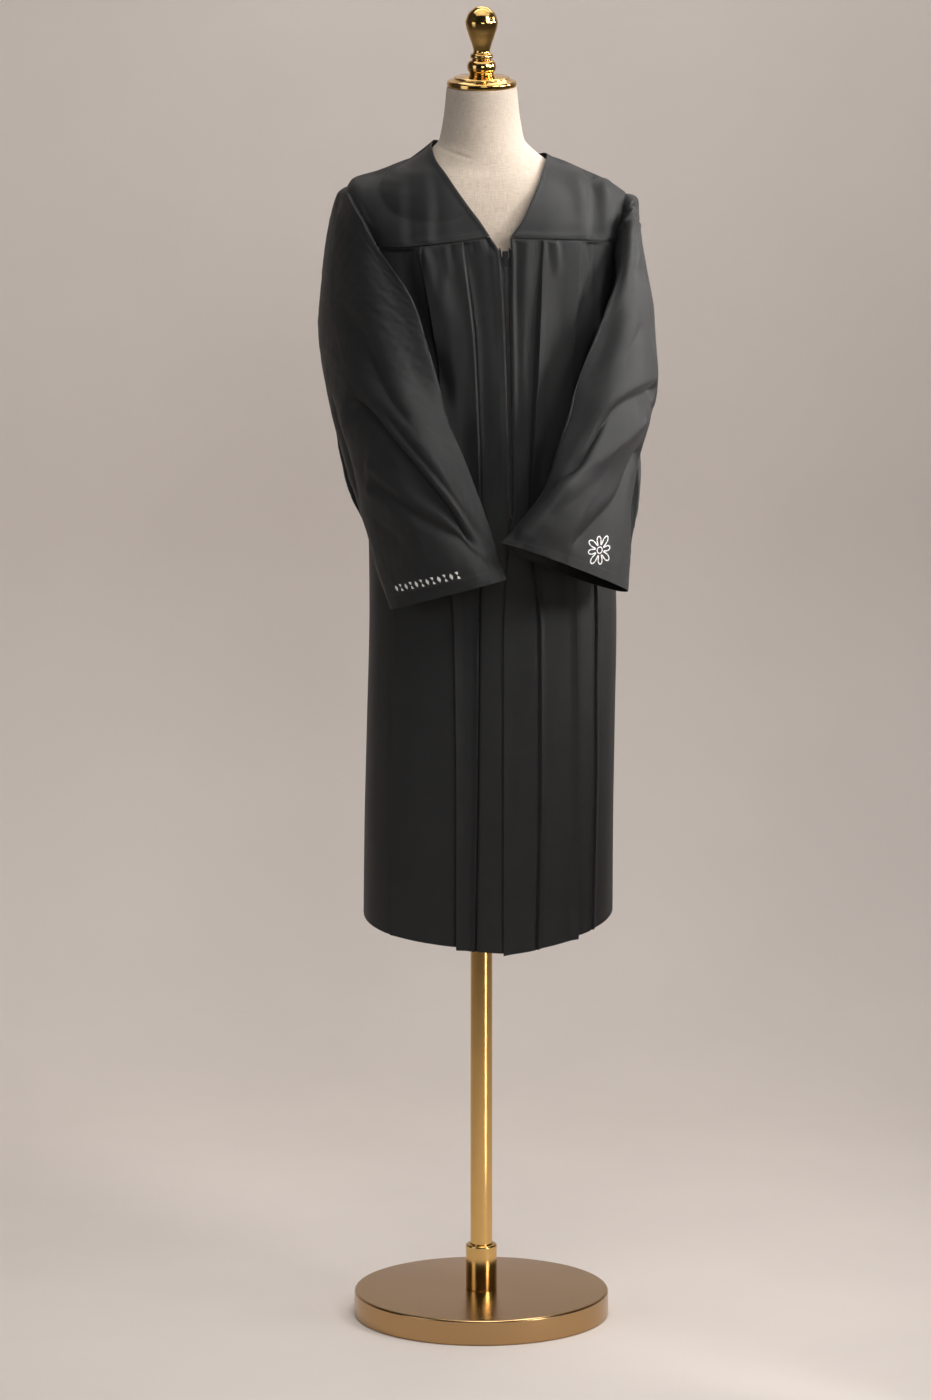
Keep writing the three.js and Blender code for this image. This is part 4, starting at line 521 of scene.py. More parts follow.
def weave_height(nt, pitch_mm, strength_noise=0.35):
    """Height of a plain weave over the piece's own UV, which is in metres along the cloth."""
    tc = node(nt, "ShaderNodeTexCoord")
    mp = node(nt, "ShaderNodeMapping")
    nt.links.new(tc.outputs["UV"], mp.inputs["Vector"])
    k = 1000.0 / pitch_mm
    mp.inputs["Scale"].default_value = (k, k, 1)
    sep = node(nt, "ShaderNodeSeparateXYZ")
    nt.links.new(mp.outputs["Vector"], sep.inputs[0])

    def wave(src, shift):
        a = node(nt, "ShaderNodeMath", operation="MULTIPLY_ADD")
        a.inputs[1].default_value = 2 * math.pi
        a.inputs[2].default_value = shift
        nt.links.new(src, a.inputs[0])
        s = node(nt, "ShaderNodeMath", operation="SINE")
        nt.links.new(a.outputs[0], s.inputs[0])
        return s.outputs[0]

    p = node(nt, "ShaderNodeMath", operation="MULTIPLY")
    nt.links.new(wave(sep.outputs[0], 0.0), p.inputs[0])
    nt.links.new(wave(sep.outputs[1], 0.6), p.inputs[1])
    noise = node(nt, "ShaderNodeTexNoise", Scale=0.9, Detail=2.0)
    nt.links.new(mp.outputs["Vector"], noise.inputs["Vector"])
    add = node(nt, "ShaderNodeMath", operation="MULTIPLY_ADD")
    add.inputs[1].default_value = strength_noise * 2
    nt.links.new(noise.outputs["Fac"], add.inputs[0])
    nt.links.new(p.outputs[0], add.inputs[2])
    return add.outputs[0], tc


def gown_cloth(name="gown_satin_black"):
    m, nt, b = new_material(name)
    weave, tc = weave_height(nt, 0.55)
    # slow unevenness of the surface: the cloth is never quite flat, and its sheen shows it
    big = node(nt, "ShaderNodeTexNoise", Scale=26.0, Detail=3.0, Roughness=0.55)
    nt.links.new(tc.outputs["Object"], big.inputs["Vector"])
    fine = node(nt, "ShaderNodeTexNoise", Scale=900.0, Detail=2.0, Roughness=0.6)
    nt.links.new(tc.outputs["Object"], fine.inputs["Vector"])
    colour = ramp(nt, big.outputs["Fac"], [(0.3, (0.0092, 0.0092, 0.0098)), (0.7, (0.0120, 0.0120, 0.0126))])
    nt.links.new(colour, b.inputs["Base Color"])
    rough = node(nt, "ShaderNodeMapRange")
    rough.inputs["From Min"].default_value = 0.3
    rough.inputs["From Max"].default_value = 0.7
    rough.inputs["To Min"].default_value = 0.43
    rough.inputs["To Max"].default_value = 0.54
    nt.links.new(fine.outputs["Fac"], rough.inputs["Value"])
    nt.links.new(rough.outputs["Result"], b.inputs["Roughness"])
    b1 = node(nt, "ShaderNodeBump", Strength=0.12, Distance=0.0016)
    nt.links.new(big.outputs["Fac"], b1.inputs["Height"])
    b2 = node(nt, "ShaderNodeBump", Strength=0.5, Distance=0.00016)
    nt.links.new(weave, b2.inputs["Height"])
    nt.links.new(b1.outputs["Normal"], b2.inputs["Normal"])
    nt.links.new(b2.outputs["Normal"], b.inputs["Normal"])
    b.inputs["Specular IOR Level"].default_value = 0.34
    b.inputs["Sheen Weight"].default_value = 0.03
    b.inputs["Sheen Roughness"].default_value = 0.45
    b.inputs["Sheen Tint"].default_value = (0.95, 0.96, 1.0, 1)
    return m


def linen_cloth():
    m, nt, b = new_material("form_linen")
    weave, tc = weave_height(nt, 1.15, 0.6)
    slub = node(nt, "ShaderNodeTexNoise", Scale=1.0, Detail=3.0, Roughness=0.6)
    mp = node(nt, "ShaderNodeMapping")
    mp.inputs["Scale"].default_value = (900, 60, 1)
    nt.links.new(tc.outputs["UV"], mp.inputs["Vector"])
    nt.links.new(mp.outputs["Vector"], slub.inputs["Vector"])
    slub2 = node(nt, "ShaderNodeTexNoise", Scale=1.0, Detail=3.0, Roughness=0.6)
    mp2 = node(nt, "ShaderNodeMapping")
    mp2.inputs["Scale"].default_value = (60, 900, 1)
    nt.links.new(tc.outputs["UV"], mp2.inputs["Vector"])
    nt.links.new(mp2.outputs["Vector"], slub2.inputs["Vector"])
    mix = node(nt, "ShaderNodeMath", operation="ADD")
    nt.links.new(slub.outputs["Fac"], mix.inputs[0])
    nt.links.new(slub2.outputs["Fac"], mix.inputs[1])
    half = node(nt, "ShaderNodeMath", operation="MULTIPLY")
    half.inputs[1].default_value = 0.5
    nt.links.new(mix.outputs[0], half.inputs[0])
    colour = ramp(nt, half.outputs[0], [(0.37, (0.53, 0.42, 0.32)), (0.49, (0.67, 0.555, 0.45)), (0.62, (0.75, 0.64, 0.53))])
    nt.links.new(colour, b.inputs["Base Color"])
    b.inputs["Roughness"].default_value = 0.85
    b.inputs["Sheen Weight"].default_value = 0.25
    b.inputs["Sheen Roughness"].default_value = 0.6
    bp = node(nt, "ShaderNodeBump", Strength=0.6, Distance=0.0005)
    nt.links.new(weave, bp.inputs["Height"])
    nt.links.new(bp.outputs["Normal"], b.inputs["Normal"])
    return m


def metal(name, colour, rough, scratch=0.0, scale=40.0):
    m, nt, b = new_material(name)
    tc = node(nt, "ShaderNodeTexCoord")
    n = node(nt, "ShaderNodeTexNoise", Scale=scale, Detail=4.0, Roughness=0.6)
    nt.links.new(tc.outputs["Object"], n.inputs["Vector"])
    c0 = tuple(v * 0.94 for v in colour)
    nt.links.new(ramp(nt, n.outputs["Fac"], [(0.35, c0), (0.65, colour)]), b.inputs["Base Color"])
    mr = node(nt, "ShaderNodeMapRange")
    mr.inputs["From Min"].default_value = 0.3
    mr.inputs["From Max"].default_value = 0.7
    mr.inputs["To Min"].default_value = rough * 0.85
    mr.inputs["To Max"].default_value = rough * 1.15
    nt.links.new(n.outputs["Fac"], mr.inputs["Value"])
    nt.links.new(mr.outputs["Result"], b.inputs["Roughness"])
    b.inputs["Metallic"].default_value = 1.0
    return m


def brushed_brass():
    """Turned metal: fine rings round Z, whose gloss spreads along the radius."""
    m, nt, b = new_material("base_brushed_brass")
    tc = node(nt, "ShaderNodeTexCoord")
    sep = node(nt, "ShaderNodeSeparateXYZ")
    nt.links.new(tc.outputs["Object"], sep.inputs[0])
    comb = node(nt, "ShaderNodeCombineXYZ")
    nt.links.new(sep.outputs[0], comb.inputs[0])
    nt.links.new(sep.outputs[1], comb.inputs[1])
    ln = node(nt, "ShaderNodeVectorMath", operation="LENGTH")
    nt.links.new(comb.outputs[0], ln.inputs[0])
    rings = node(nt, "ShaderNodeTexNoise", Scale=1.0, Detail=4.0, Roughness=0.7)
    rings.noise_dimensions = "1D"
    k = node(nt, "ShaderNodeMath", operation="MULTIPLY")
    k.inputs[1].default_value = 1400.0
    nt.links.new(ln.outputs["Value"], k.inputs[0])
    nt.links.new(k.outputs[0], rings.inputs["W"])
    nt.links.new(ramp(nt, rings.outputs["Fac"], [(0.3, (0.40, 0.25, 0.115)), (0.7, (0.52, 0.335, 0.165))]), b.inputs["Base Color"])
    b.inputs["Metallic"].default_value = 1.0
    mr = node(nt, "ShaderNodeMapRange")
    mr.inputs["From Min"].default_value = 0.3
    mr.inputs["From Max"].default_value = 0.7
    mr.inputs["To Min"].default_value = 0.15
    mr.inputs["To Max"].default_value = 0.21
    nt.links.new(rings.outputs["Fac"], mr.inputs["Value"])
    nt.links.new(mr.outputs["Result"], b.inputs["Roughness"])
    b.inputs["Anisotropic"].default_value = 0.80
    tg = node(nt, "ShaderNodeTangent", direction_type="RADIAL", axis="Z")
    nt.links.new(tg.outputs["Tangent"], b.inputs["Tangent"])
    bp = node(nt, "ShaderNodeBump", Strength=0.10, Distance=0.00008)
    nt.links.new(rings.outputs["Fac"], bp.inputs["Height"])
    nt.links.new(bp.outputs["Normal"], b.inputs["Normal"])
    return m


def plain_cloth(name, colour, pitch, rough=0.8, sheen=0.2):
    m, nt, b = new_material(name)
    weave, tc = weave_height(nt, pitch)
    c0 = tuple(v * 0.8 for v in colour)
    nt.links.new(ramp(nt, weave, [(0.0, c0), (1.0, colour)]), b.inputs["Base Color"])
    b.inputs["Roughness"].default_value = rough
    b.inputs["Sheen Weight"].default_value = sheen
    bp = node(nt, "ShaderNodeBump", Strength=0.5, Distance=0.0003)
    nt.links.new(weave, bp.inputs["Height"])
    nt.links.new(bp.outputs["Normal"], b.inputs["Normal"])
    return m


def thread(name, colour, rough=0.45):
    """Twisted thread: fine slanted ridges."""
    m, nt, b = new_material(name)
    tc = node(nt, "ShaderNodeTexCoord")
    w = node(nt, "ShaderNodeTexWave", Scale=900.0, Distortion=1.5, Detail=1.0)
    w.wave_type = "BANDS"
    w.bands_direction = "DIAGONAL"
    nt.links.new(tc.outputs["Object"], w.inputs["Vector"])
    c0 = tuple(v * 0.82 for v in colour)
    nt.links.new(ramp(nt, w.outputs["Fac"], [(0.0, c0), (1.0, colour)]), b.inputs["Base Color"])
    b.inputs["Roughness"].default_value = rough
    b.inputs["Sheen Weight"].default_value = 0.3
    bp = node(nt, "ShaderNodeBump", Strength=0.5, Distance=0.0002)
    nt.links.new(w.outputs["Fac"], bp.inputs["Height"])
    nt.links.new(bp.outputs["Normal"], b.inputs["Normal"])
    return m


CLOTH = gown_cloth()
LINEN = linen_cloth()
BRIGHT = metal("polished_brass", (0.70, 0.44, 0.15), 0.13)
BRUSHED = brushed_brass()
TUBE = metal("polished_brass_tube", (0.72, 0.46, 0.17), 0.17)
TUBE_BSDF = TUBE.node_tree.nodes["Principled BSDF"]
TUBE_BSDF.inputs["Anisotropic"].default_value = 0.75
TUBE_ROUND = node(TUBE.node_tree, "ShaderNodeTangent", direction_type="RADIAL", axis="Z")
TUBE.node_tree.links.new(TUBE_ROUND.outputs["Tangent"], TUBE_BSDF.inputs["Tangent"])
TAPE = plain_cloth("zip_tape_black", (0.022, 0.022, 0.024), 0.8)
TEETH = metal("zip_teeth_black", (0.05, 0.05, 0.052), 0.4)
TEETH.node_tree.nodes["Principled BSDF"].inputs["Metallic"].default_value = 0.0
ENAMEL = metal("zip_slider_black", (0.045, 0.045, 0.048), 0.3)
ENAMEL.node_tree.nodes["Principled BSDF"].inputs["Metallic"].default_value = 0.6
STEEL = metal("zip_stop_bright", (0.80, 0.80, 0.81), 0.18)
THREAD_BLACK = thread("thread_black", (0.028, 0.028, 0.030))
THREAD_WHITE = thread("thread_white", (0.93, 0.92, 0.90), 0.45)


def dress(ob, material, slot, *nodes):
    ob.data.materials.clear()
    ob.data.materials.append(material)
    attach(ob, ROOT)
    if nodes:
        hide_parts(*nodes)
    return ob


# ------------------------------------------------------------------ the long panels
def spread(anchors, counts, pull=0.82):
    """Column positions between anchors (rows, k), crowded near each anchor."""
    parts = []
    for k, n in enumerate(counts):
        t = np.arange(n) / n
        t = t - pull * np.sin(2 * math.pi * t) / (2 * math.pi)
        parts.append(anchors[:, k:k + 1] * (1 - t) + anchors[:, k + 1:k + 2] * t)
    parts.append(anchors[:, -1:])
    return np.concatenate(parts, axis=1)


def pleat_rows(panel):
    return [p for p in PLEATS if p[1] == panel]


def place_pleats(L, X, Z, rows, back=False):
    """Where each pleat's edge lies along the row, as a length, and how far it had to be moved to stay on the panel."""
    out, strength = [], []
    total = L[:, -1]
    for name, panel, xs, lift, low, run, crisp, drop in rows:
        want = curve(PLEAT_Z, xs)(Z.mean(axis=1))
        pos = np.empty(len(L))
        for i in range(len(L)):
            xr, lr = X[i], L[i]
            if xr[0] > xr[-1]:
                xr, lr = xr[::-1], lr[::-1]
            pos[i] = np.interp(want[i], xr, lr)
        out.append(pos)
    order = np.argsort([o[len(o) // 2] for o in out])
    A = np.stack([out[k] for k in order], 1)
    raw = A.copy()
    gap = 6.0
    n = A.shape[1]
    for k in range(n):
        A[:, k] = np.maximum(A[:, k], gap * (k + 1))
        if k:
            A[:, k] = np.maximum(A[:, k], A[:, k - 1] + gap)
    for k in range(n - 1, -1, -1):
        A[:, k] = np.minimum(A[:, k], total - gap * (n - k))
        if k < n - 1:
            A[:, k] = np.minimum(A[:, k], A[:, k + 1] - gap)
    strength = 1 - ease((np.abs(A - raw) - 1) / 10)
    return A, strength, [rows[k] for k in order]


def pleat_profile(t, lift, run, crisp):
    """Height of a pleat at distance t from its edge, on the raised side for t below 0."""
    crisp = np.asarray(crisp, float)
    raised = lift * np.maximum(0, 1 + t / run) ** 1.5
    fall = lift * (1 - 1.35 * ease(t / crisp))
    after = -0.35 * lift * np.maximum(0, 1 - (t - crisp) / run) ** 2
    return np.where(t <= 0, raised, np.where(t < crisp, fall, after))


seam_row = {}   # the plain line of each yoke seam, without the pleats that are sewn into it


def panel_lift(panel, A, strength, rows, D, X, Z, sign, seam_z):
    """sign says whether the row's length grows towards +X (1) or -X (-1)."""
    below = np.maximum(0, Z[-1:] - Z)
    grow = ease(below / 5) * (0.34 + 0.66 * ease(below / 150))
    out = np.zeros_like(D)
    for k, (name, _, xs, lift, low, run, crisp, drop) in enumerate(rows):
        t = (D - A[:, k:k + 1]) * drop * sign
        high = ease((Z - 1080) / 300)
        height = lift * lerp(low, 1.0, high)
        out += pleat_profile(t, 1.0, run * lerp(0.38, 1.0, high), lerp(1.2, crisp, high)) * height * strength[:, k:k + 1]
        # pressed edges cast a thin dark line
        crack = lerp(2.6, 1.6 if crisp < 3.5 else 0.0, high)
        out -= crack * bump(t - lerp(1.0, 1.9, high), lerp(0.75, 1.0, high)) * strength[:, k:k + 1]
    out = out * grow
    out += soft_lift(panel, X, Z) * ease(below / 8)
    # small tucks where the fullness is sewn into the yoke, and the dip under its edge
    out += 0.9 * waves(X, Z * 0.1, {"right": 91, "left": 93, "back": 95}[panel], 15, 9) * ease(below / 4) * np.exp(-below / 34)
    out -= 2.4 * np.exp(-(below / 1.1) ** 2)
    # small unevenness that grows where the cloth hangs free
    seed = {"right": 11, "left": 23, "back": 37}[panel]
    out += 0.9 * waves(X * 1.0, Z * 0.28, seed, 60) * ease((seam_z - Z) / 120)
    out += 0.30 * waves(X * 1.0, Z * 0.18, seed + 1, 17) * ease((seam_z - Z) / 60) * ease((Z - 1000) / 300)
    return out


def front_grid(which, low=66, mid=96, high=88, per=26):
    a, seam = ARMHOLE[which], YOKE_SEAM[which]
    sign = a["side"]
    edge = curve(FRONT_EDGE["z"], FRONT_EDGE[which])
    # rows: hem to the sleeves' level, on to the pit, then beside the armhole up to the yoke
    t = np.concatenate([np.linspace(0, 0.58, low, endpoint=False), np.linspace(0.58, 1, mid, endpoint=False)])
    zo = list(lerp(HEM[which]["side"], a["bottom"], t))
    zc = list(lerp(HEM["front"], a["bottom"], t))
    shape = [HEM[which]["shape"]] * len(t)
    phi_o = [sign * math.pi / 2 - sign * 0.0008] * len(t)
    k = lerp(PIT_STEP, YOKE_STEPS, 1 - (1 - np.linspace(0, 1, high)) ** 1.8)
    p = armhole_point(which, k)
    top = armhole_point(which, YOKE_STEPS)[2]
    zo += list(p[:, 2])
    zc += list(lerp(a["bottom"], seam["centre"], (p[:, 2] - a["bottom"]) / (top - a["bottom"])))
    shape += [seam["shape"]] * high
    phi_o += list(armhole_phi(which, k))
    zo, zc, shape, phi_o = (np.array(v, float)[:, None] for v in (zo, zc, shape, phi_o))
    x_edge = edge(zc)
    phi_e = phi_at_x(x_edge, zc)
    f = np.linspace(0, 1, 500)[None, :]
    PH = phi_o + (phi_e - phi_o) * f
    Z = lerp(zo, zc, f)
    x_outer = body_point(phi_o, zo)[..., 0]
    for _ in range(3):
        X = body_point(PH, Z)[..., 0]
        w = np.clip(np.abs((X - x_outer) / (x_edge - x_outer)), 0, 1)
        Z = lerp(zo, zc, w ** shape)
    Q = body_point(PH, Z)
    step = np.hypot(np.diff(Q[..., 0], axis=1), np.diff(Q[..., 1], axis=1))
    L = np.concatenate([np.zeros((len(Q), 1)), np.cumsum(step, axis=1)], axis=1)
    A, strength, rows = place_pleats(L, Q[..., 0], Z, pleat_rows(which))
    anchors = np.concatenate([np.zeros((len(A), 1)), A, L[:, -1:]], axis=1)
    D = spread(anchors, [per + 6] + [per] * (A.shape[1] - 1) + [per])
    PHI = np.stack([np.interp(D[i], L[i], PH[i]) for i in range(len(D))])
    ZZ = np.stack([np.interp(D[i], L[i], Z[i]) for i in range(len(D))])
    # the pressed pleats step the hem a little
    for k, row in enumerate(rows):
        step_at = HEM_STEPS.get(row[0])
        if step_at:
            ZZ = ZZ + step_at * ease((D - A[:, k:k + 1]) / 1.6 + 0.5) * ease((780 - ZZ) / 240)
    base = body_point(PHI, ZZ)
    seam_z = seam["centre"] - 12
    # lengths grow from the side to the centre: towards +X on the wearer's right, -X on the left
    lift = panel_lift(which, A, strength, rows, D, base[..., 0], ZZ, -sign, seam_z)
    from_side = np.abs(base[..., 0] - x_outer)
    from_edge = np.abs(base[..., 0] - x_edge)
    lift *= ease(from_side / 30)
    # the folded edge at the centre: a soft roll
    zipped = ease((ZZ - 1238) / 24)
    roll = 1.1 * bump(from_edge - 2.2, 2.6) - 0.5 * bump(from_edge - 7.5, 2.0)
    lap = 1.3 * bump(from_edge, 9.0) if which == "left" else -2.0 * bump(from_edge, 5.0)
    lift = lift * ease(from_edge / 10) + roll * zipped + lap * (1 - zipped)
    seam_row[which] = body_point(PHI[-1:], ZZ[-1:], 0.5)[0] + np.array([0, 0, 0.45])
    return body_point(PHI, ZZ, lift)


def back_grid(low=56, mid=84, high=66, per=17):
    R, Lf = ARMHOLE["right"], ARMHOLE["left"]
    t = np.concatenate([np.linspace(0, 0.58, low, endpoint=False), np.linspace(0.58, 1, mid, endpoint=False)])
    zr, zl = list(lerp(HEM["right"]["side"], R["bottom"], t)), list(lerp(HEM["left"]["side"], Lf["bottom"], t))
    zc = list(lerp(HEM["back"], (R["bottom"] + Lf["bottom"]) / 2, t))
    pr, pl = [2 * math.pi - math.pi / 2 - 0.0016] * len(t), [math.pi / 2 + 0.0016] * len(t)
    k = np.linspace(PIT_STEP, AROUND - YOKE_STEPS, high)
    a, b = armhole_point("right", k), armhole_point("left", k)
    top = (armhole_point("right", AROUND - YOKE_STEPS)[2] + armhole_point("left", AROUND - YOKE_STEPS)[2]) / 2
    bottom = (R["bottom"] + Lf["bottom"]) / 2
    mid_z = (a[:, 2] + b[:, 2]) / 2
    zr += list(a[:, 2])
    zl += list(b[:, 2])
    zc += list(lerp(bottom, YOKE_SEAM["back"], (mid_z - bottom) / (top - bottom)))
    pr += list(2 * math.pi + armhole_phi("right", k))
    pl += list(armhole_phi("left", k))
    zr, zl, zc, pr, pl = (np.array(v, float)[:, None] for v in (zr, zl, zc, pr, pl))
    f = np.linspace(0, 1, 600)[None, :]
    PH = pr + (pl - pr) * f
    Z = lerp(zr, zl, f)
    xr, xl = body_point(pr, zr)[..., 0], body_point(pl, zl)[..., 0]
    for _ in range(3):
        X = body_point(PH, Z)[..., 0]
        w = np.clip((X - xr) / (xl - xr), 0, 1)
        dip = 4 * w * (1 - w)
        Z = lerp(zr, zl, w) + (zc - (zr + zl) / 2) * np.minimum(1, dip ** 0.6)
    Q = body_point(PH, Z)
    step = np.hypot(np.diff(Q[..., 0], axis=1), np.diff(Q[..., 1], axis=1))
    L = np.concatenate([np.zeros((len(Q), 1)), np.cumsum(step, axis=1)], axis=1)
    A, strength, rows = place_pleats(L, Q[..., 0], Z, pleat_rows("back"), True)
    anchors = np.concatenate([np.zeros((len(A), 1)), A, L[:, -1:]], axis=1)
    D = spread(anchors, [per + 8] + [per] * (A.shape[1] - 1) + [per + 8])
    PHI = np.stack([np.interp(D[i], L[i], PH[i]) for i in range(len(D))])
    ZZ = np.stack([np.interp(D[i], L[i], Z[i]) for i in range(len(D))])
    base = body_point(PHI, ZZ)
    lift = panel_lift("back", A, strength, rows, D, base[..., 0], ZZ, 1, YOKE_SEAM["back"] - 6)
    edge = np.minimum(np.abs(base[..., 0] - xr), np.abs(base[..., 0] - xl))
    lift *= ease(edge / 30)
    seam_row["back"] = body_point(PHI[-1:], ZZ[-1:], 0.5)[0] + np.array([0, 0, 0.45])
    return body_point(PHI, ZZ, lift)


# ------------------------------------------------------------------ the yokes
def shares_of(row):
    run = np.concatenate([[0], np.cumsum(np.linalg.norm(np.diff(row, axis=0), axis=1))])
    return run / run[-1]


def patch(low, top, start, end, rows):
    s, t = shares_of(low)[None, :, None], np.linspace(0, 1, rows + 1)[:, None, None]
    T = top(shares_of(low))[None]
    Lf, Rt = start(np.linspace(0, 1, rows + 1))[:, None], end(np.linspace(0, 1, rows + 1))[:, None]
    a, b, c, d = low[0], low[-1], T[0, 0], T[0, -1]
    return ((1 - t) * low[None] + t * T + (1 - s) * Lf + s * Rt
            - ((1 - s) * (1 - t) * a + s * (1 - t) * b + (1 - s) * t * c + s * t * d))


def pinned(f, first, last):
    a, b = f(np.array([0.0]))[0], f(np.array([1.0]))[0]
    return lambda t: f(t) + (1 - t)[:, None] * (first - a) + t[:, None] * (last - b)


def table_curve(table, keys="xyz"):
    parts = [curve(table["t"], table[k]) for k in keys]
    return lambda t: np.stack([f(t) for f in parts], axis=-1)


OFF_FORM = 4.6


def yoke_front(which, panel, rows=54):
    low = seam_row[which]
    sx, sz = curve(SHOULDER[which]["t"], SHOULDER[which]["x"]), curve(SHOULDER[which]["t"], SHOULDER[which]["z"])
    tip = armhole_point(which, 0.0)
    y0 = -SEAM_GAP / 2

    def shoulder(s):
        return np.stack([sx(s), np.full_like(s, y0), sz(s)], -1)

    top = pinned(shoulder, np.array([tip[0], y0, tip[2]]), shoulder(np.array([1.0]))[0])
    first, last = top(np.array([0.0]))[0], top(np.array([1.0]))[0]
    start = pinned(lambda t: armhole_point(which, YOKE_STEPS * (1 - t)), low[0], first)
    end = pinned(table_curve(NECKLINE[which]), low[-1], last)
    P = patch(low, top, start, end, rows)
    Q = P.copy()
    Q[1:, 1:] = keep_off(P[1:, 1:], form_share, OFF_FORM + np.linspace(0.5, 1.5, rows)[:, None])
    Q[-1, :, 1] = y0
    # folds, fading out at the armhole and neck edges
    t = np.linspace(0, 1, rows + 1)[:, None]
    s = shares_of(low)[None, :]
    sign = 1 if which == "right" else -1
    N = grid_normals(Q, False) * sign
    h = soft_lift("yoke_" + which, Q[..., 0], Q[..., 2])
    h += 0.4 * waves(Q[..., 0], Q[..., 2] - Q[..., 1], 41 if which == "right" else 43, 46)
    # the gathers below pull at the seam
    h += 0.35 * waves(Q[..., 0], Q[..., 2] * 0.15, 45, 12) * np.exp(-t * 9)
    h += 0.8 * bump(t - 0.03, 0.03)
    fade = ease(s / 0.08) * ease((1 - s) / 0.06) * ease((1 - t) / 0.08)
    near = ease(t / 0.05) if which == "right" else 0.15 + 0.85 * ease(t / 0.05)
    Q = Q + N * (h * fade * near)[..., None]
    # topstitched edges: a low roll along the neck
    Q += N * (0.7 * bump((1 - s) * 150 - 3, 2.5) * ease(t / 0.03))[..., None]
    Q[-1, :, 1] = y0
    Q[1:-1, :, 1] = np.minimum(Q[1:-1, :, 1], y0)
    return Q


def yoke_back(panel, rows=54):
    low = seam_row["back"]
    y0, SHARE = SEAM_GAP / 2, 0.36
    sr = (curve(SHOULDER["right"]["t"], SHOULDER["right"]["x"]), curve(SHOULDER["right"]["t"], SHOULDER["right"]["z"]))
    sl = (curve(SHOULDER["left"]["t"], SHOULDER["left"]["x"]), curve(SHOULDER["left"]["t"], SHOULDER["left"]["z"]))
    neck = table_curve(BACK_NECK)
    tr, tl = armhole_point("right", 0.0), armhole_point("left", 0.0)

    def raw(s):
        a, b = np.clip(s / SHARE, 0, 1), np.clip((1 - s) / SHARE, 0, 1)
        first = np.stack([sr[0](a), np.full_like(s, y0), sr[1](a)], -1)
        third = np.stack([sl[0](b), np.full_like(s, y0), sl[1](b)], -1)
        mid = neck(np.clip((s - SHARE) / (1 - 2 * SHARE), 0, 1)) + np.array([0, y0, 0])
        return np.where((s < SHARE)[:, None], first, np.where((s > 1 - SHARE)[:, None], third, mid))

    e0, e1 = raw(np.array([0.0]))[0], raw(np.array([1.0]))[0]
    m0, m1 = np.array([tr[0] - e0[0], 0, tr[2] - e0[2]]), np.array([tl[0] - e1[0], 0, tl[2] - e1[2]])

    def top(s):
        near, far = np.maximum(0, 1 - s / 0.1), np.maximum(0, 1 - (1 - s) / 0.1)
        return raw(s) + near[:, None] * m0 + far[:, None] * m1

    k1 = AROUND - YOKE_STEPS
    first, last = top(np.array([0.0]))[0], top(np.array([1.0]))[0]
    start = pinned(lambda t: armhole_point("right", k1 + YOKE_STEPS * t), low[0], first)
    end = pinned(lambda t: armhole_point("left", k1 + YOKE_STEPS * t), low[-1], last)
    P = patch(low, top, start, end, rows)
    Q = P.copy()
    Q[1:, 1:-1] = keep_off(P[1:, 1:-1], form_share, OFF_FORM + 2.5)
    s = shares_of(low)
    on_seam = (s < SHARE) | (s > 1 - SHARE)
    Q[-1, on_seam, 1] = y0
    N = -grid_normals(Q, False)
    t, s2 = np.linspace(0, 1, rows + 1)[:, None], s[None, :]
    h = soft_lift("yoke_back", Q[..., 0], Q[..., 2]) + 0.9 * waves(Q[..., 0], Q[..., 2], 47, 50)
    fade = ease(s2 / 0.06) * ease((1 - s2) / 0.06) * ease((1 - t) / 0.12) * ease(t / 0.05)
    Q = Q + N * (h * fade)[..., None]
    Q[-1, on_seam, 1] = y0
    Q[..., 1] = np.maximum(Q[..., 1], y0)
    return Q


# ------------------------------------------------------------------ the sleeves
sleeve_curves = {}
for which in ("right", "left"):
    sleeve_curves[which] = {}
    for name, quarter in (("crown", 0), ("fore", AROUND / 4), ("under", AROUND / 2), ("rear", 3 * AROUND / 4)):
        seam = armhole_point(which, quarter, 0.5, 0.1)
        sleeve_curves[which][name] = point_curve([0] + SLEEVE[which]["s"], [tuple(seam)] + SLEEVE[which][name])


def sleeve_point(which, s, angle):
    c = sleeve_curves[which]
    s, angle = np.broadcast_arrays(np.asarray(s, float), np.asarray(angle, float))
    crown, fore, under, rear = (c[k](s) for k in ("crown", "fore", "under", "rear"))
    mid = (fore + rear) / 2
    # pressed flat towards the fold that runs down its front edge
    away = np.abs(np.mod(angle, 2 * math.pi) - math.pi / 2) / math.radians(62)
    p = 2 - 0.62 * ease(1.15 * (1 - away)) * ease((s - 0.004) / 0.05)
    co, si = np.cos(angle), np.sin(angle)
    r = (np.abs(co) ** p + np.abs(si) ** p) ** (-1 / p)
    co, si = (co * r)[..., None], (si * r)[..., None]
    return mid + (fore - rear) / 2 * si + np.where(co >= 0, (crown - mid) * co, (under - mid) * -co)


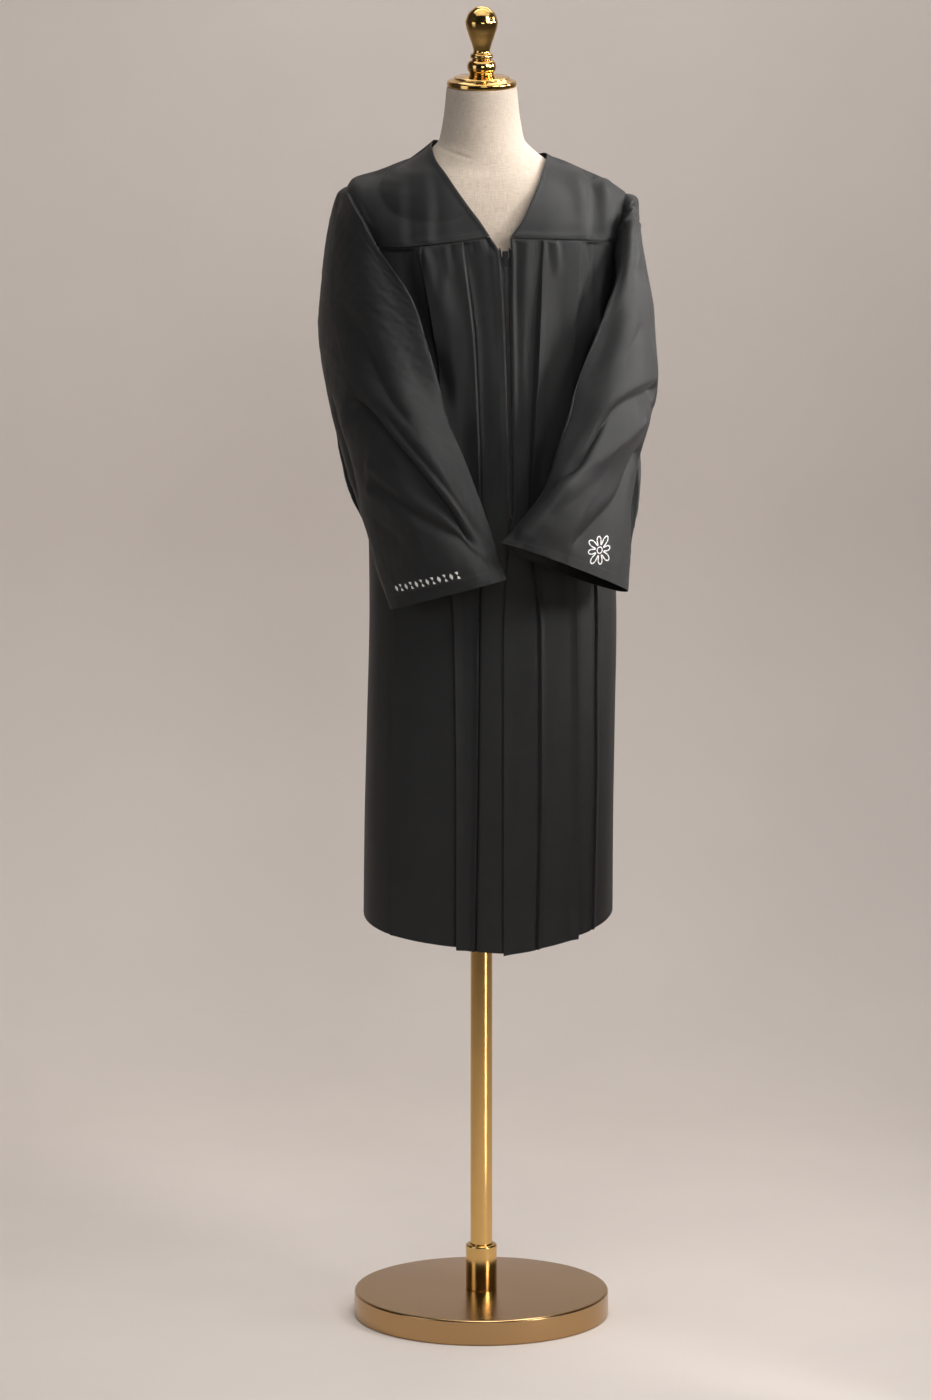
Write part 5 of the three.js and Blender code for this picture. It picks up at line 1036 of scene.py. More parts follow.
def sleeve_grid(which, rings=178, around=186):
    sign = 1 if which == "right" else -1
    s = (np.linspace(0, 1, rings) ** 1.15)[:, None]
    ang = (2 * math.pi * np.arange(around) / around)[None, :]
    P = sleeve_point(which, s, ang)
    e = 0.02
    across = sleeve_point(which, s, ang + e) - sleeve_point(which, s, ang - e)
    along = sleeve_point(which, np.minimum(1, s + e), ang) - sleeve_point(which, np.maximum(0, s - e), ang)
    out = unit(np.cross(along, across)) * sign
    deg = np.degrees(ang) + 0 * s
    lift = np.zeros(P.shape[:2])
    for sleeve, name, line, depth, wa, wb, fade_in, fade_out in SLEEVE_FOLDS:
        if sleeve != which:
            continue
        n = 60
        u = np.linspace(0, 1, len(line))
        fs, fa = curve(u, [p[0] for p in line]), curve(u, [p[1] for p in line])
        t = np.linspace(0, 1, n)
        ps, pa = fs(t), fa(t)
        path = sleeve_point(which, ps, np.radians(pa))
        d2 = ((P[:, :, None, :] - path[None, None]) ** 2).sum(-1)
        k = d2.argmin(axis=2)
        # distance to the line itself, not only to its points
        k0, k1 = np.maximum(k - 1, 0), np.minimum(k + 1, n - 1)
        a, b = path[k0], path[k1]
        ab = b - a
        f = np.clip(((P - a) * ab).sum(-1) / np.maximum((ab ** 2).sum(-1), 1e-9), 0, 1)
        near = a + ab * f[..., None]
        dist = np.linalg.norm(P - near, axis=-1)
        at = (k0 + f * (k1 - k0)) / (n - 1)
        # which side of the line: towards the cap or the hem
        side = np.einsum("ijk,ijk->ij", np.cross(ab, P - near), out) * sign
        w = np.where(side > 0, wa, wb)
        fade = ease(at / fade_in) * ease((1 - at) / fade_out)
        keen = 1.25 if depth < -4 else 1.6
        lift += depth * np.exp(-np.minimum(((dist ** 2 + 0.8) ** 0.5 / w) ** keen, 30)) * fade
    # gathers of the cap, eased into the armhole over the shoulder
    front = ((deg + 180) % 360) - 180
    cap = np.exp(-((front - 8) / 62.0) ** 2)
    count = 21
    ph = np.radians(front) * count + 1.1 * np.sin(np.radians(front) * 5 + (1 if which == "right" else 2.2))
    gather = (np.abs(np.sin(ph / 2)) - 0.45) * 2.6
    puffed = bump(front - 12, 60) * (0.96 if which == "left" else 0.0)
    lift += gather * cap * (1 - puffed) * np.exp(-s / 0.055) * ease(s / 0.012)
    lift += (1.6 if which == "right" else 2.6) * cap * bump(s - 0.055, 0.045)
    # slow unevenness, and a light ripple where the hem is turned
    lift += 1.3 * waves(np.radians(deg) * 110, s * 620, 61 if which == "right" else 67, 95)
    lift += (0.35 if which == "right" else 0.2) * waves(np.radians(deg) * 110, s * 620, 71 if which == "right" else 73, 24) * (1 - 0.9 * puffed * np.exp(-s / 0.2))
    lift += 0.45 * waves(np.radians(deg) * 120, s * 200, 79, 44) * ease((s - 0.95) / 0.05)
    # the turned hem is a double layer, with a groove where it is stitched
    back_from_hem = (1 - s) * 640
    lift += 0.45 * ease((14 - back_from_hem) / 1.5) - 0.55 * bump(back_from_hem - 13.6, 1.3)
    lift *= ease(s / 0.02)
    P = P + out * lift[..., None]
    away = lerp(3.0, 11.0, ease((s - 0.03) / 0.15)) + 1.6 + 0 * ang
    P = keep_off(P, body_share, away)
    # meet the armhole exactly
    ring = armhole_point(which, np.arange(around) * AROUND / around, 0.5, 0.1)
    w = np.exp(-(s / 0.02) ** 2)[..., None]
    P = P * (1 - w) + (ring[None] + (P - P[:1]) * 0.999) * w
    P[0] = ring
    return P


# ------------------------------------------------------------------ build the cloth
front_right = front_grid("right")
front_left = front_grid("left")
back_panel = back_grid()
yoke_right = yoke_front("right", front_right)
yoke_left = yoke_front("left", front_left)
yoke_rear = yoke_back(back_panel)
sleeve_r = sleeve_grid("right")
sleeve_l = sleeve_grid("left")

cloth = {
    "gown_front_right": (front_right, False, 1, "front_right"),
    "gown_front_left": (front_left, False, -1, "front_left"),
    "gown_back": (back_panel, False, -1, "back"),
    "gown_yoke_front_right": (yoke_right, False, 1, "yoke_front_right"),
    "gown_yoke_front_left": (yoke_left, False, -1, "yoke_front_left"),
    "gown_yoke_back": (yoke_rear, False, -1, "yoke_back"),
    "gown_sleeve_right": (sleeve_r, True, -1, "sleeve_right"),
    "gown_sleeve_left": (sleeve_l, True, 1, "sleeve_left"),
}
made = {}
for name, (P, wrap, sign, cad) in cloth.items():
    made[name] = dress(shell(name, P, wrap, WALL, sign), CLOTH, "gown_cloth", cad)

surf = {name: Surface(P, wrap, sign) for name, (P, wrap, sign, cad) in cloth.items()}


# ------------------------------------------------------------------ sewn details
def stitches(name, path, normals, length=2.3, gap=1.1, thick=0.42, material=THREAD_BLACK):
    """A row of single stitches along a path lying on the cloth, joined into one piece."""
    seg = np.linalg.norm(np.diff(path, axis=0), axis=1)
    run = np.concatenate([[0], np.cumsum(seg)])
    total = run[-1]
    starts = np.arange(0.5, total - length, length + gap)
    verts, quads = [], []
    for k, a in enumerate(starts):
        d = np.array([a, a + length * 0.5, a + length])
        p = np.stack([np.interp(d, run, path[:, c]) for c in range(3)], -1)
        n = unit(np.stack([np.interp(d, run, normals[:, c]) for c in range(3)], -1))
        t = unit(p[2] - p[0])
        side = np.cross(t, n)
        base = len(verts)
        for q, h, w in ((p[0], -0.05, 0.35), (p[1], thick, 1.0), (p[2], -0.05, 0.35)):
            m = n[1]
            verts += [q - side[1] * thick * 0.5 * w + m * (h - 0.25), q + side[1] * thick * 0.5 * w + m * (h - 0.25),
                      q + side[1] * thick * 0.35 * w + m * h, q - side[1] * thick * 0.35 * w + m * h]
        for r in range(2):
            o = base + 4 * r
            for c in range(4):
                quads.append([o + c, o + (c + 1) % 4, o + 4 + (c + 1) % 4, o + 4 + c])
        quads.append([base + 3, base + 2, base + 1, base])
        quads.append([base + 8, base + 9, base + 10, base + 11])
    ob = mesh_object(name, np.array(verts), np.array(quads))
    return dress(ob, material, "gown_cloth")


def row_path(key, row, j0=None, j1=None, lift=0.0, count=None):
    S = surf[key]
    cols = S.P.shape[1]
    j = np.linspace(0 if j0 is None else j0, (cols if S.wrap else cols - 1.01) if j1 is None else j1, count or 3 * cols)
    i = np.full_like(j, row)
    return S.at(i, j, np.full_like(j, lift)), S.normal(i, j)


def stitched(name, *args, **kw):
    return stitches(name, *args, **kw)


stitch_pieces = {"gown_sleeve_right": [], "gown_sleeve_left": []}
for key in ("gown_sleeve_right", "gown_sleeve_left"):
    S = surf[key]
    rows = S.P.shape[0]
    # the row that lies 13.6 mm from the hem
    target = rows - 1 - 13.6 / 640 * (rows - 1) / 1.15
    path, nrm = row_path(key, target, lift=0.15, count=900)
    stitch_pieces[key].append(stitched(key.replace("gown", "hem_stitch"), path, nrm))

for key, end in (("gown_yoke_front_right", 1), ("gown_yoke_front_left", 1)):
    S = surf[key]
    rows, cols = S.P.shape[:2]
    # topstitching along the neck edge, 6 mm in, and above the yoke seam, 2.5 mm up
    i = np.linspace(1, rows - 2, 260)
    width = np.linalg.norm(np.diff(S.P[rows // 2], axis=0), axis=1)
    from_end = np.cumsum(width[::-1])
    j = cols - 1 - np.interp(6.0, from_end, np.arange(1, cols))
    j = np.full_like(i, j)
    stitches(key.replace("gown", "neck_stitch"), S.at(i, j, np.full_like(i, 0.1)), S.normal(i, j))
    height = np.linalg.norm(np.diff(S.P[:, cols // 2], axis=0), axis=1)
    row = np.interp(2.6, np.cumsum(height), np.arange(1, rows))
    jj = np.linspace(2, cols - 3, 400)
    ii = np.full_like(jj, row)
    stitches(key.replace("gown", "seam_stitch"), S.at(ii, jj, np.full_like(jj, 0.1)), S.normal(ii, jj))
S = surf["gown_yoke_back"]
rows, cols = S.P.shape[:2]
height = np.linalg.norm(np.diff(S.P[:, cols // 2], axis=0), axis=1)
jj = np.linspace(2, cols - 3, 600)
ii = np.full_like(jj, np.interp(2.6, np.cumsum(height), np.arange(1, rows)))
stitches("seam_stitch_yoke_back", S.at(ii, jj, np.full_like(jj, 0.1)), S.normal(ii, jj))
share = shares_of(back_panel[-1])
neck_cols = np.where((share > 0.36) & (share < 0.64))[0]
jj = np.linspace(neck_cols[0], neck_cols[-1], 300)
height = np.linalg.norm(np.diff(S.P[:, cols // 2], axis=0), axis=1)
ii = np.full_like(jj, rows - 1 - np.interp(6.0, np.cumsum(height[::-1]), np.arange(1, rows)))
stitches("neck_stitch_yoke_back", S.at(ii, jj, np.full_like(jj, 0.1)), S.normal(ii, jj))


# ------------------------------------------------------------------ embroidery: plain motifs of no meaning
def raised_patch(S, outline_ij, lift=0.55, verts=None, quads=None):
    """A small satin-stitched shape: a quad patch (4 corners in row, column) domed over the cloth."""
    n = 4
    u = np.linspace(0, 1, n + 1)
    a, b, c, d = (np.array(p, float) for p in outline_ij)
    base = len(verts)
    for v in u:
        for t in u:
            ij = (a * (1 - t) + b * t) * (1 - v) + (d * (1 - t) + c * t) * v
            edge = min(t, 1 - t, v, 1 - v)
            h = -0.25 if edge == 0 else lift
            verts.append(S.at(ij[0], ij[1], np.array(h)))
    for r in range(n):
        for k in range(n):
            o = base + r * (n + 1) + k
            quads.append([o, o + 1, o + n + 2, o + n + 1])


def local_scale(S, i, j):
    """Length in mm of one step of row and of column there."""
    p = S.at(np.array([i, i + 1.0, i]), np.array([j, j, j + 1.0]), np.zeros(3))
    return np.linalg.norm(p[1] - p[0]), np.linalg.norm(p[2] - p[0])


def band(S, name, row, j0, j1, tall=12.0):
    """A row of small diamonds and hourglasses along the cuff."""
    verts, quads = [], []
    cols = S.P.shape[1]
    jj = np.linspace(j0, j1, 200)
    p = S.at(np.full(200, row), jj, np.zeros(200))
    run = np.concatenate([[0], np.cumsum(np.linalg.norm(np.diff(p, axis=0), axis=1))])
    total = run[-1]
    step = 9.4
    count = int(total // step)
    for k in range(count):
        mid = (k + 0.5) * total / count
        j = float(np.interp(mid, run, jj))
        per_row, per_col = local_scale(S, row, j)
        h = tall * 0.5
        if k % 2:
            # two triangles tip to tip
            shapes = [[(-3.4, -h), (3.4, -h), (0.5, -0.5), (-0.5, -0.5)], [(-0.5, 0.5), (0.5, 0.5), (3.4, h), (-3.4, h)]]
        else:
            shapes = [[(0, -h), (3.8, 0), (0, h), (-3.8, 0)]]
        for shape in shapes:
            raised_patch(S, [(row + q[1] / per_row, j + q[0] / per_col) for q in shape], 0.7, verts, quads)
    return mesh_object(name, np.array(verts), np.array(quads))


def ring_motif(S, name, row, j, radius=25.0):
    """An outlined eight-petalled rosette round a small ring."""
    verts, quads = [], []
    per_row, per_col = local_scale(S, row, j)

    def put(shape, lift=0.6):
        raised_patch(S, [(row + q[1] / per_row, j + q[0] / per_col) for q in shape], lift, verts, quads)

    def stroke(pts, wide):
        pts = [np.array(p, float) for p in pts]
        for a, b in zip(pts, pts[1:]):
            t = (b - a) / max(np.linalg.norm(b - a), 1e-9)
            n = np.array([-t[1], t[0]]) * wide / 2
            a2, b2 = a - t * wide * 0.15, b + t * wide * 0.15
            put([a2 - n, b2 - n, b2 + n, a2 + n])

    for k in range(8):
        a0 = math.pi / 4 * k + math.pi / 8
        tip = radius if k % 2 else radius * 0.86
        pts = []
        for u in np.linspace(-1, 1, 7):
            r = radius * 0.30 + (tip - radius * 0.30) * (1 - u * u) ** 0.75
            pts.append((r * math.cos(a0 + 0.36 * u), r * math.sin(a0 + 0.36 * u)))
        stroke(pts, 2.3)
    pts = [(radius * 0.2 * math.cos(t), radius * 0.2 * math.sin(t)) for t in np.linspace(0, 2 * math.pi, 13)]
    stroke(pts, 2.1)
    return mesh_object(name, np.array(verts), np.array(quads))


def find_on(S, x, z):
    """Row and column of the point of the front of a sleeve that is nearest to that x and z."""
    d = (S.P[..., 0] - x) ** 2 + (S.P[..., 2] - z) ** 2 + np.where(S.N[..., 1] < 0, 0, 1e6)
    i, j = np.unravel_index(d.argmin(), d.shape)
    return int(i), int(j)


Sr, Sl = surf["gown_sleeve_right"], surf["gown_sleeve_left"]
i0, j0 = find_on(Sr, -126, 1146)
i1, j1 = find_on(Sr, -32, 1188)
if j0 > j1:
    j0 -= Sr.P.shape[1]
cuff_band = dress(band(Sr, "cuff_band_right", (i0 + i1) / 2, j0, j1), THREAD_WHITE, "gown_cloth")
i2, j2 = find_on(Sl, 175, 1210)
cuff_motif = dress(ring_motif(Sl, "cuff_motif_left", i2, j2), THREAD_WHITE, "gown_cloth")

# ------------------------------------------------------------------ the zip
ZIP = {"top": 1649, "bottom": 1252, "tape": 12.0, "chain": 4.6}
SLIDER_TOP, SLIDER_TALL, SLIDER_WIDTH = 1647.6, 11.0, 8.6
edge_r, edge_l = curve(FRONT_EDGE["z"], FRONT_EDGE["right"]), curve(FRONT_EDGE["z"], FRONT_EDGE["left"])


def zip_x(z):
    return (edge_r(z) + edge_l(z)) / 2


def panel_y(x, z):
    return body_point(phi_at_x(x, z), z)[..., 1]


def open_at(z):
    return np.maximum(ZIP["chain"] / 2 - 0.4, ease((z - (SLIDER_TOP - SLIDER_TALL - 2)) / 3) * (SLIDER_WIDTH / 2 + 1.3))


behind = 1.6 + 1.6
zz = np.linspace(ZIP["bottom"], ZIP["top"], 260)
for name, sign, cad in (("zip_tape_woven_right", -1, "zip_tape_right"), ("zip_tape_woven_left", 1, "zip_tape_left")):
    u = np.linspace(0, 1, 9)
    if sign < 0:
        u = u[::-1]
    x = zip_x(zz)[:, None] + sign * (open_at(zz)[:, None] + u[None] * ZIP["tape"])
    y = panel_y(x, zz[:, None] + 0 * x) + behind + 0.12 * np.sin(u * 26)[None]
    P = np.stack([x, y, zz[:, None] + 0 * x], -1)
    ob = dress(shell(name, P, False, 0.7, 1), TAPE, "zip_tape", cad)
    made[name] = ob

# single teeth, meshed from alternate sides
verts, quads = [], []
teeth_z = np.arange(ZIP["bottom"] + 1, SLIDER_TOP - SLIDER_TALL - 0.6, 1.25)
for k, z in enumerate(teeth_z):
    side = 1 if k % 2 else -1
    x0 = float(zip_x(z))
    y0 = float(panel_y(np.array(x0), np.array(z))) + behind - 1.1
    # head across the middle, neck and foot on its own tape
    prof = [(-0.55, 0.40), (0.35, 0.46), (1.0, 0.34), (2.35, 0.42)]
    base = len(verts)
    for d, h in prof:
        x = x0 + side * d
        deep = 0.85 if d < 2 else 0.7
        for dz, dy in ((-h, 0), (h, 0), (h, deep * 2), (-h, deep * 2)):
            round_off = 0.18 if d in (-0.55, 2.35) else 0.0
            verts.append((x, y0 + dy * (1 - round_off) + round_off * deep, z + dz))
    for r in range(len(prof) - 1):
        o = base + 4 * r
        for c in range(4):
            f = [o + c, o + (c + 1) % 4, o + 4 + (c + 1) % 4, o + 4 + c]
            quads.append(f if side > 0 else f[::-1])
    e = base + 4 * (len(prof) - 1)
    quads.append([base + 3, base + 2, base + 1, base] if side > 0 else [base, base + 1, base + 2, base + 3])
    quads.append([e, e + 1, e + 2, e + 3] if side > 0 else [e + 3, e + 2, e + 1, e])
teeth = dress(mesh_object("zip_teeth", np.array(verts), np.array(quads), smooth=False), TEETH, "zip_teeth", "zip_chain")


def paint(node_name, material):
    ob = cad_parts[node_name]
    ob.data.materials.clear()
    ob.data.materials.append(material)


for name, material in (("zip_slider", ENAMEL), ("zip_pull_tab", ENAMEL), ("zip_stop_right", STEEL), ("zip_stop_left", STEEL)):
    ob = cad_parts[name]
    if not ob.material_slots:
        ob.data.materials.append(material)
    for s in ob.material_slots:
        s.material = material
    bev = ob.modifiers.new("soft_edges", "BEVEL")
    bev.width = 0.00022
    bev.segments = 2
    bev.limit_method = "ANGLE"
    bev.angle_limit = math.radians(40)


# ------------------------------------------------------------------ the dress form and its stand
def lathe(name, profile, segments, wobble=None, close=True):
    """A turned body from (radius, height) rows; it starts and ends on the axis."""
    rows = len(profile)
    r = np.array([p[0] for p in profile], float)[:, None]
    z = np.array([p[1] for p in profile], float)[:, None]
    a = (2 * math.pi * np.arange(segments) / segments)[None]
    P = np.stack([r * np.cos(a), r * np.sin(a), z + 0 * a], -1)
    inside = P[1:-1].reshape(-1, 3)
    verts = np.concatenate([inside, [[0, 0, profile[0][1]], [0, 0, profile[-1][1]]]])
    m = rows - 2
    i, j = np.meshgrid(np.arange(m - 1), np.arange(segments), indexing="ij")
    i, j = i.reshape(-1), j.reshape(-1)
    j1 = (j + 1) % segments
    quads = np.stack([i * segments + j, i * segments + j1, (i + 1) * segments + j1, (i + 1) * segments + j], 1)
    j = np.arange(segments)
    j1 = (j + 1) % segments
    lo, hi = len(verts) - 2, len(verts) - 1
    tris = np.concatenate([np.stack([np.full(segments, lo), j1, j], 1), np.stack([np.full(segments, hi), (m - 1) * segments + j, (m - 1) * segments + j1], 1)])
    return mesh_object(name, verts, [quads, tris])


def rounded(profile, radius=0.8, steps=4, smooth_from=150):
    """The profile with its corners rounded, so that they catch the light."""
    out = [profile[0]]
    for a, b, c in zip(profile, profile[1:], profile[2:]):
        a, b, c = (np.array(p, float) for p in (a, b, c))
        u, v = b - a, c - b
        lu, lv = np.linalg.norm(u), np.linalg.norm(v)
        if lu < 1e-6 or lv < 1e-6:
            continue
        cosang = np.clip(np.dot(u, v) / lu / lv, -1, 1)
        turn = math.degrees(math.acos(cosang))
        if turn < 25:
            out.append(tuple(b))
            continue
        d = min(radius, lu * 0.45, lv * 0.45)
        p0, p1 = b - u / lu * d, b + v / lv * d
        for t in np.linspace(0, 1, steps + 1):
            q = (1 - t) ** 2 * p0 + 2 * t * (1 - t) * b + t * t * p1
            out.append((float(q[0]), float(q[1])))
    out.append(profile[-1])
    return out


def bend(points, per=6):
    """A smooth turned profile through the given rows."""
    p = np.array(points, float)
    run = np.concatenate([[0], np.cumsum(np.linalg.norm(np.diff(p, axis=0), axis=1))])
    fr, fz = curve(run, p[:, 0]), curve(run, p[:, 1])
    t = np.linspace(0, run[-1], per * len(points))
    return [(float(a), float(b)) for a, b in zip(fr(t), fz(t))]


CAP = [(0, 1876.8), (50, 1876.8), (51.8, 1878.3), (51.8, 1883.5), (50.2, 1886), (46.5, 1887), (41.6, 1889.5), (41.6, 1890.6), (40.6, 1891.5), (38, 1892.2), (24, 1894), (18.4, 1896), (0, 1896)]
cap = dress(lathe("brass_neck_cap", rounded(CAP, 0.9), 128), BRIGHT, "bright_brass", "neck_cap")
KNOB_LOW = [(17.8, 1896.3), (18.4, 1898.5), (20.9, 1902), (21.7, 1907), (20.6, 1912), (17.4, 1916), (14.3, 1917.3)]
KNOB_MID = [(14.3, 1917.3), (14.3, 1918.6), (16.6, 1920), (17.1, 1922.5), (16.2, 1924.8), (13, 1927.5)]
KNOB_TOP = [(13, 1927.5), (12.3, 1930), (13.6, 1936), (19.6, 1954), (23.6, 1967.5), (24.4, 1973.5), (23.5, 1976.8)]
DOME = [(23.5, 1976.8), (22.9, 1978.6), (20.8, 1984.4), (15.6, 1990.9), (8.5, 1995.5), (3.0, 1996.8)]
prof = [(0, 1896.3)] + bend(KNOB_LOW) + bend(KNOB_MID) + bend(KNOB_TOP) + bend(DOME) + [(0, 1997)]
clean = [prof[0]]
for p in prof[1:]:
    if math.hypot(p[0] - clean[-1][0], p[1] - clean[-1][1]) > 0.05:
        clean.append(p)
finial = dress(lathe("brass_finial", clean, 96), BRIGHT, "bright_brass", "finial")

base = dress(lathe("stand_base_brushed", rounded([(0, 0), (190.5, 0), (192.5, 2), (192.5, 37.2), (190.2, 39.5), (60, 39.5), (23, 39.5), (0, 39.5)], 1.4, 5), 256), BRUSHED, "brushed_brass", "base_disc")
collar_profile = [(16.8, 39.8), (23.5, 39.8), (23.5, 107.2), (22.6, 109.1), (20.5, 110), (16.8, 110)]


def ring_lathe(name, profile, segments):
    """A turned ring: the profile closes on itself."""
    p = np.array(profile, float)
    a = (2 * math.pi * np.arange(segments) / segments)[None]
    P = np.stack([p[:, :1] * np.cos(a), p[:, :1] * np.sin(a), p[:, 1:] + 0 * a], -1)
    rows = len(p)
    i, j = np.meshgrid(np.arange(rows), np.arange(segments), indexing="ij")
    i, j = i.reshape(-1), j.reshape(-1)
    i1, j1 = (i + 1) % rows, (j + 1) % segments
    quads = np.stack([i * segments + j, i * segments + j1, i1 * segments + j1, i1 * segments + j], 1)
    verts = P.reshape(-1, 3)
    if volume_of(verts, quads) < 0:
        quads = quads[:, ::-1]
    return mesh_object(name, verts, quads)


ring = rounded([(17.2, 39.8)] + collar_profile[1:] + [(16.8, 39.8), (17.2, 39.8)], 0.8)
collar = dress(ring_lathe("brass_pole_collar", ring[:-1], 128), TUBE, "bright_brass", "pole_collar")
pole_profile = [(0, 39.8)] + [(16.5, float(z)) for z in np.linspace(39.8, 1009.7, 40)] + [(0, 1009.7)]
pole = dress(lathe("brass_pole", pole_profile, 128), TUBE, "bright_brass", "pole")

# the torso, covered with linen drawn smooth; its hidden bottom is closed
zs = np.concatenate([np.linspace(1010, 1045, 14, endpoint=False), np.linspace(1045, 1700, 76, endpoint=False), np.linspace(1700, 1876.4, 110)])
around = 168
phi = (2 * math.pi * np.arange(around) / around)[None]
Z = zs[:, None]
si, co = np.sin(phi), np.cos(phi)
n = form_n(Z)
b = np.where(co > 0, form_at["front"](Z), form_at["back"](Z))
r = (np.abs(si / form_at["half"](Z)) ** n + np.abs(co / b) ** n) ** (-1 / n)
# a faint crease at the side of the neck, and the pull of the cover towards the cap
X, Y = r * si, -r * co
crease = -0.9 * bump((Z - (1787 - 0.28 * (X + 50))), 2.4) * ease((-X - 8) / 14) * (co > 0)
tuck = -0.5 * bump(Z - 1874.5, 2.0) + 0.14 * np.sin(phi * 46) * ease((Z - 1862) / 14)
r = r + crease + tuck
ring = np.stack([r * si, -r * co, Z + 0 * phi], -1)
verts = np.concatenate([ring.reshape(-1, 3), [[0, 0, 1010], [0, 0, 1876.4]]])
rows = len(zs)
i, j = np.meshgrid(np.arange(rows - 1), np.arange(around), indexing="ij")
i, j = i.reshape(-1), j.reshape(-1)
j1 = (j + 1) % around
quads = np.stack([i * around + j, i * around + j1, (i + 1) * around + j1, (i + 1) * around + j], 1)
j = np.arange(around)
j1 = (j + 1) % around
lo, hi = len(verts) - 2, len(verts) - 1
last = (rows - 1) * around
tris = np.concatenate([np.stack([np.full(around, lo), j1, j], 1), np.stack([np.full(around, hi), last + j, last + j1], 1)])
uu = np.cumsum(np.linalg.norm(np.diff(ring[rows // 2], axis=0, prepend=ring[rows // 2][:1]), axis=1))
uv = np.stack(np.broadcast_arrays(uu[None], Z), -1).reshape(-1, 2) * MM
uv = np.concatenate([uv, [[0, 1.01], [0, 1.8764]]])
torso = dress(mesh_object("linen_torso", verts, [quads, tris], uv), LINEN, "form_linen", "form_torso")

# ------------------------------------------------------------------ what each cloth is
names = list(made)


def flat_area(name):
    P, wrap = cloth[name][0], cloth[name][1]
    if wrap:
        P = np.concatenate([P, P[:, :1]], axis=1)
    a, b, c, d = P[:-1, :-1], P[:-1, 1:], P[1:, 1:], P[1:, :-1]
    return float((np.linalg.norm(np.cross(b - a, c - a), axis=-1) + np.linalg.norm(np.cross(c - a, d - a), axis=-1)).sum() / 2) * 1e-6


areas = {name: flat_area(name) for name in cloth}
print("AREAS", {k: round(v, 3) for k, v in areas.items()})
SHEETS = {
    # piece: (width, length, cut area or None, how it is held, what it rests on, pieces with it)
    "gown_front_right": (0.34, 1.08, 0.335, "hung", [made["gown_yoke_front_right"]], []),
    "gown_front_left": (0.30, 1.08, 0.285, "hung", [made["gown_yoke_front_left"]], []),
    "gown_back": (0.60, 1.05, 0.56, "hung", [made["gown_yoke_back"]], []),
    "gown_yoke_front_right": (0.24, 0.17, 0.0265, "draped", [torso], []),
    "gown_yoke_front_left": (0.19, 0.16, 0.022, "draped", [torso], []),
    "gown_yoke_back": (0.44, 0.17, 0.060, "draped", [torso], []),
    "gown_sleeve_right": (0.70, 0.66, 0.36, "gathered", [made["gown_yoke_front_right"]], stitch_pieces["gown_sleeve_right"] + [cuff_band]),
    "gown_sleeve_left": (0.62, 0.62, 0.30, "gathered", [made["gown_yoke_front_left"]], stitch_pieces["gown_sleeve_left"] + [cuff_motif]),
}
for name, (w, l, area, held, on, extra) in SHEETS.items():
    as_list(on)
    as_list(extra)

# ------------------------------------------------------------------ the room
def stage_material(name, colour, rough, scale, depth):
    m, nt, b = new_material(name)
    tc = node(nt, "ShaderNodeTexCoord")
    n = node(nt, "ShaderNodeTexNoise", Scale=scale, Detail=4.0)
    nt.links.new(tc.outputs["Object"], n.inputs["Vector"])
    c0 = tuple(v * 0.97 for v in colour)
    nt.links.new(ramp(nt, n.outputs["Fac"], [(0.35, c0), (0.65, colour)]), b.inputs["Base Color"])
    b.inputs["Roughness"].default_value = rough
    b.inputs["Specular IOR Level"].default_value = 0.2
    return m


def stage_sheet(name, P, material):
    rows, cols = P.shape[:2]
    i, j = np.meshgrid(np.arange(rows - 1), np.arange(cols - 1), indexing="ij")
    i, j = i.reshape(-1), j.reshape(-1)
    quads = np.stack([i * cols + j, i * cols + j + 1, (i + 1) * cols + j + 1, (i + 1) * cols + j], 1)
    ob = mesh_object(name, P.reshape(-1, 3), quads)
    ob.data.materials.append(material)
    return ob


FLOOR = stage_material("floor_pale", (0.86, 0.785, 0.74), 0.75, 3.0, 0)
xs = np.linspace(-7000, 7000, 3)
arc = [(1250 + 850 * math.sin(t), 850 - 850 * math.cos(t)) for t in np.linspace(0, math.pi / 2, 25)]
split = 7
P = np.array([[(x, y, z) for x in xs] for y, z in [(-9000, 0.0), (-4000, 0.0), (0, 0.0)] + arc[:split + 1]], float)
stage_sheet("floor", P, FLOOR)
P = np.array([[(x, y, z) for x in xs] for y, z in arc[split:] + [(2100, 2500), (2100, 5200)]], float)
stage_sheet("backdrop", P, FLOOR)


def area_light(name, at, aim, size, power, colour=(1, 1, 1), spread=180):
    d = bpy.data.lights.new(name, "AREA")
    d.shape = "RECTANGLE"
    d.size, d.size_y = size
    d.energy = power
    d.spread = math.radians(spread)
    d.color = colour
    ob = bpy.data.objects.new(name, d)
    bpy.context.scene.collection.objects.link(ob)
    ob.location = at
    a, b = np.array(at, float), np.array(aim, float)
    v = b - a
    yaw = math.atan2(v[1], v[0]) - math.pi / 2
    pitch = math.atan2(v[2], math.hypot(v[0], v[1]))
    ob.rotation_euler = (math.pi / 2 + pitch, 0, yaw)
    return ob


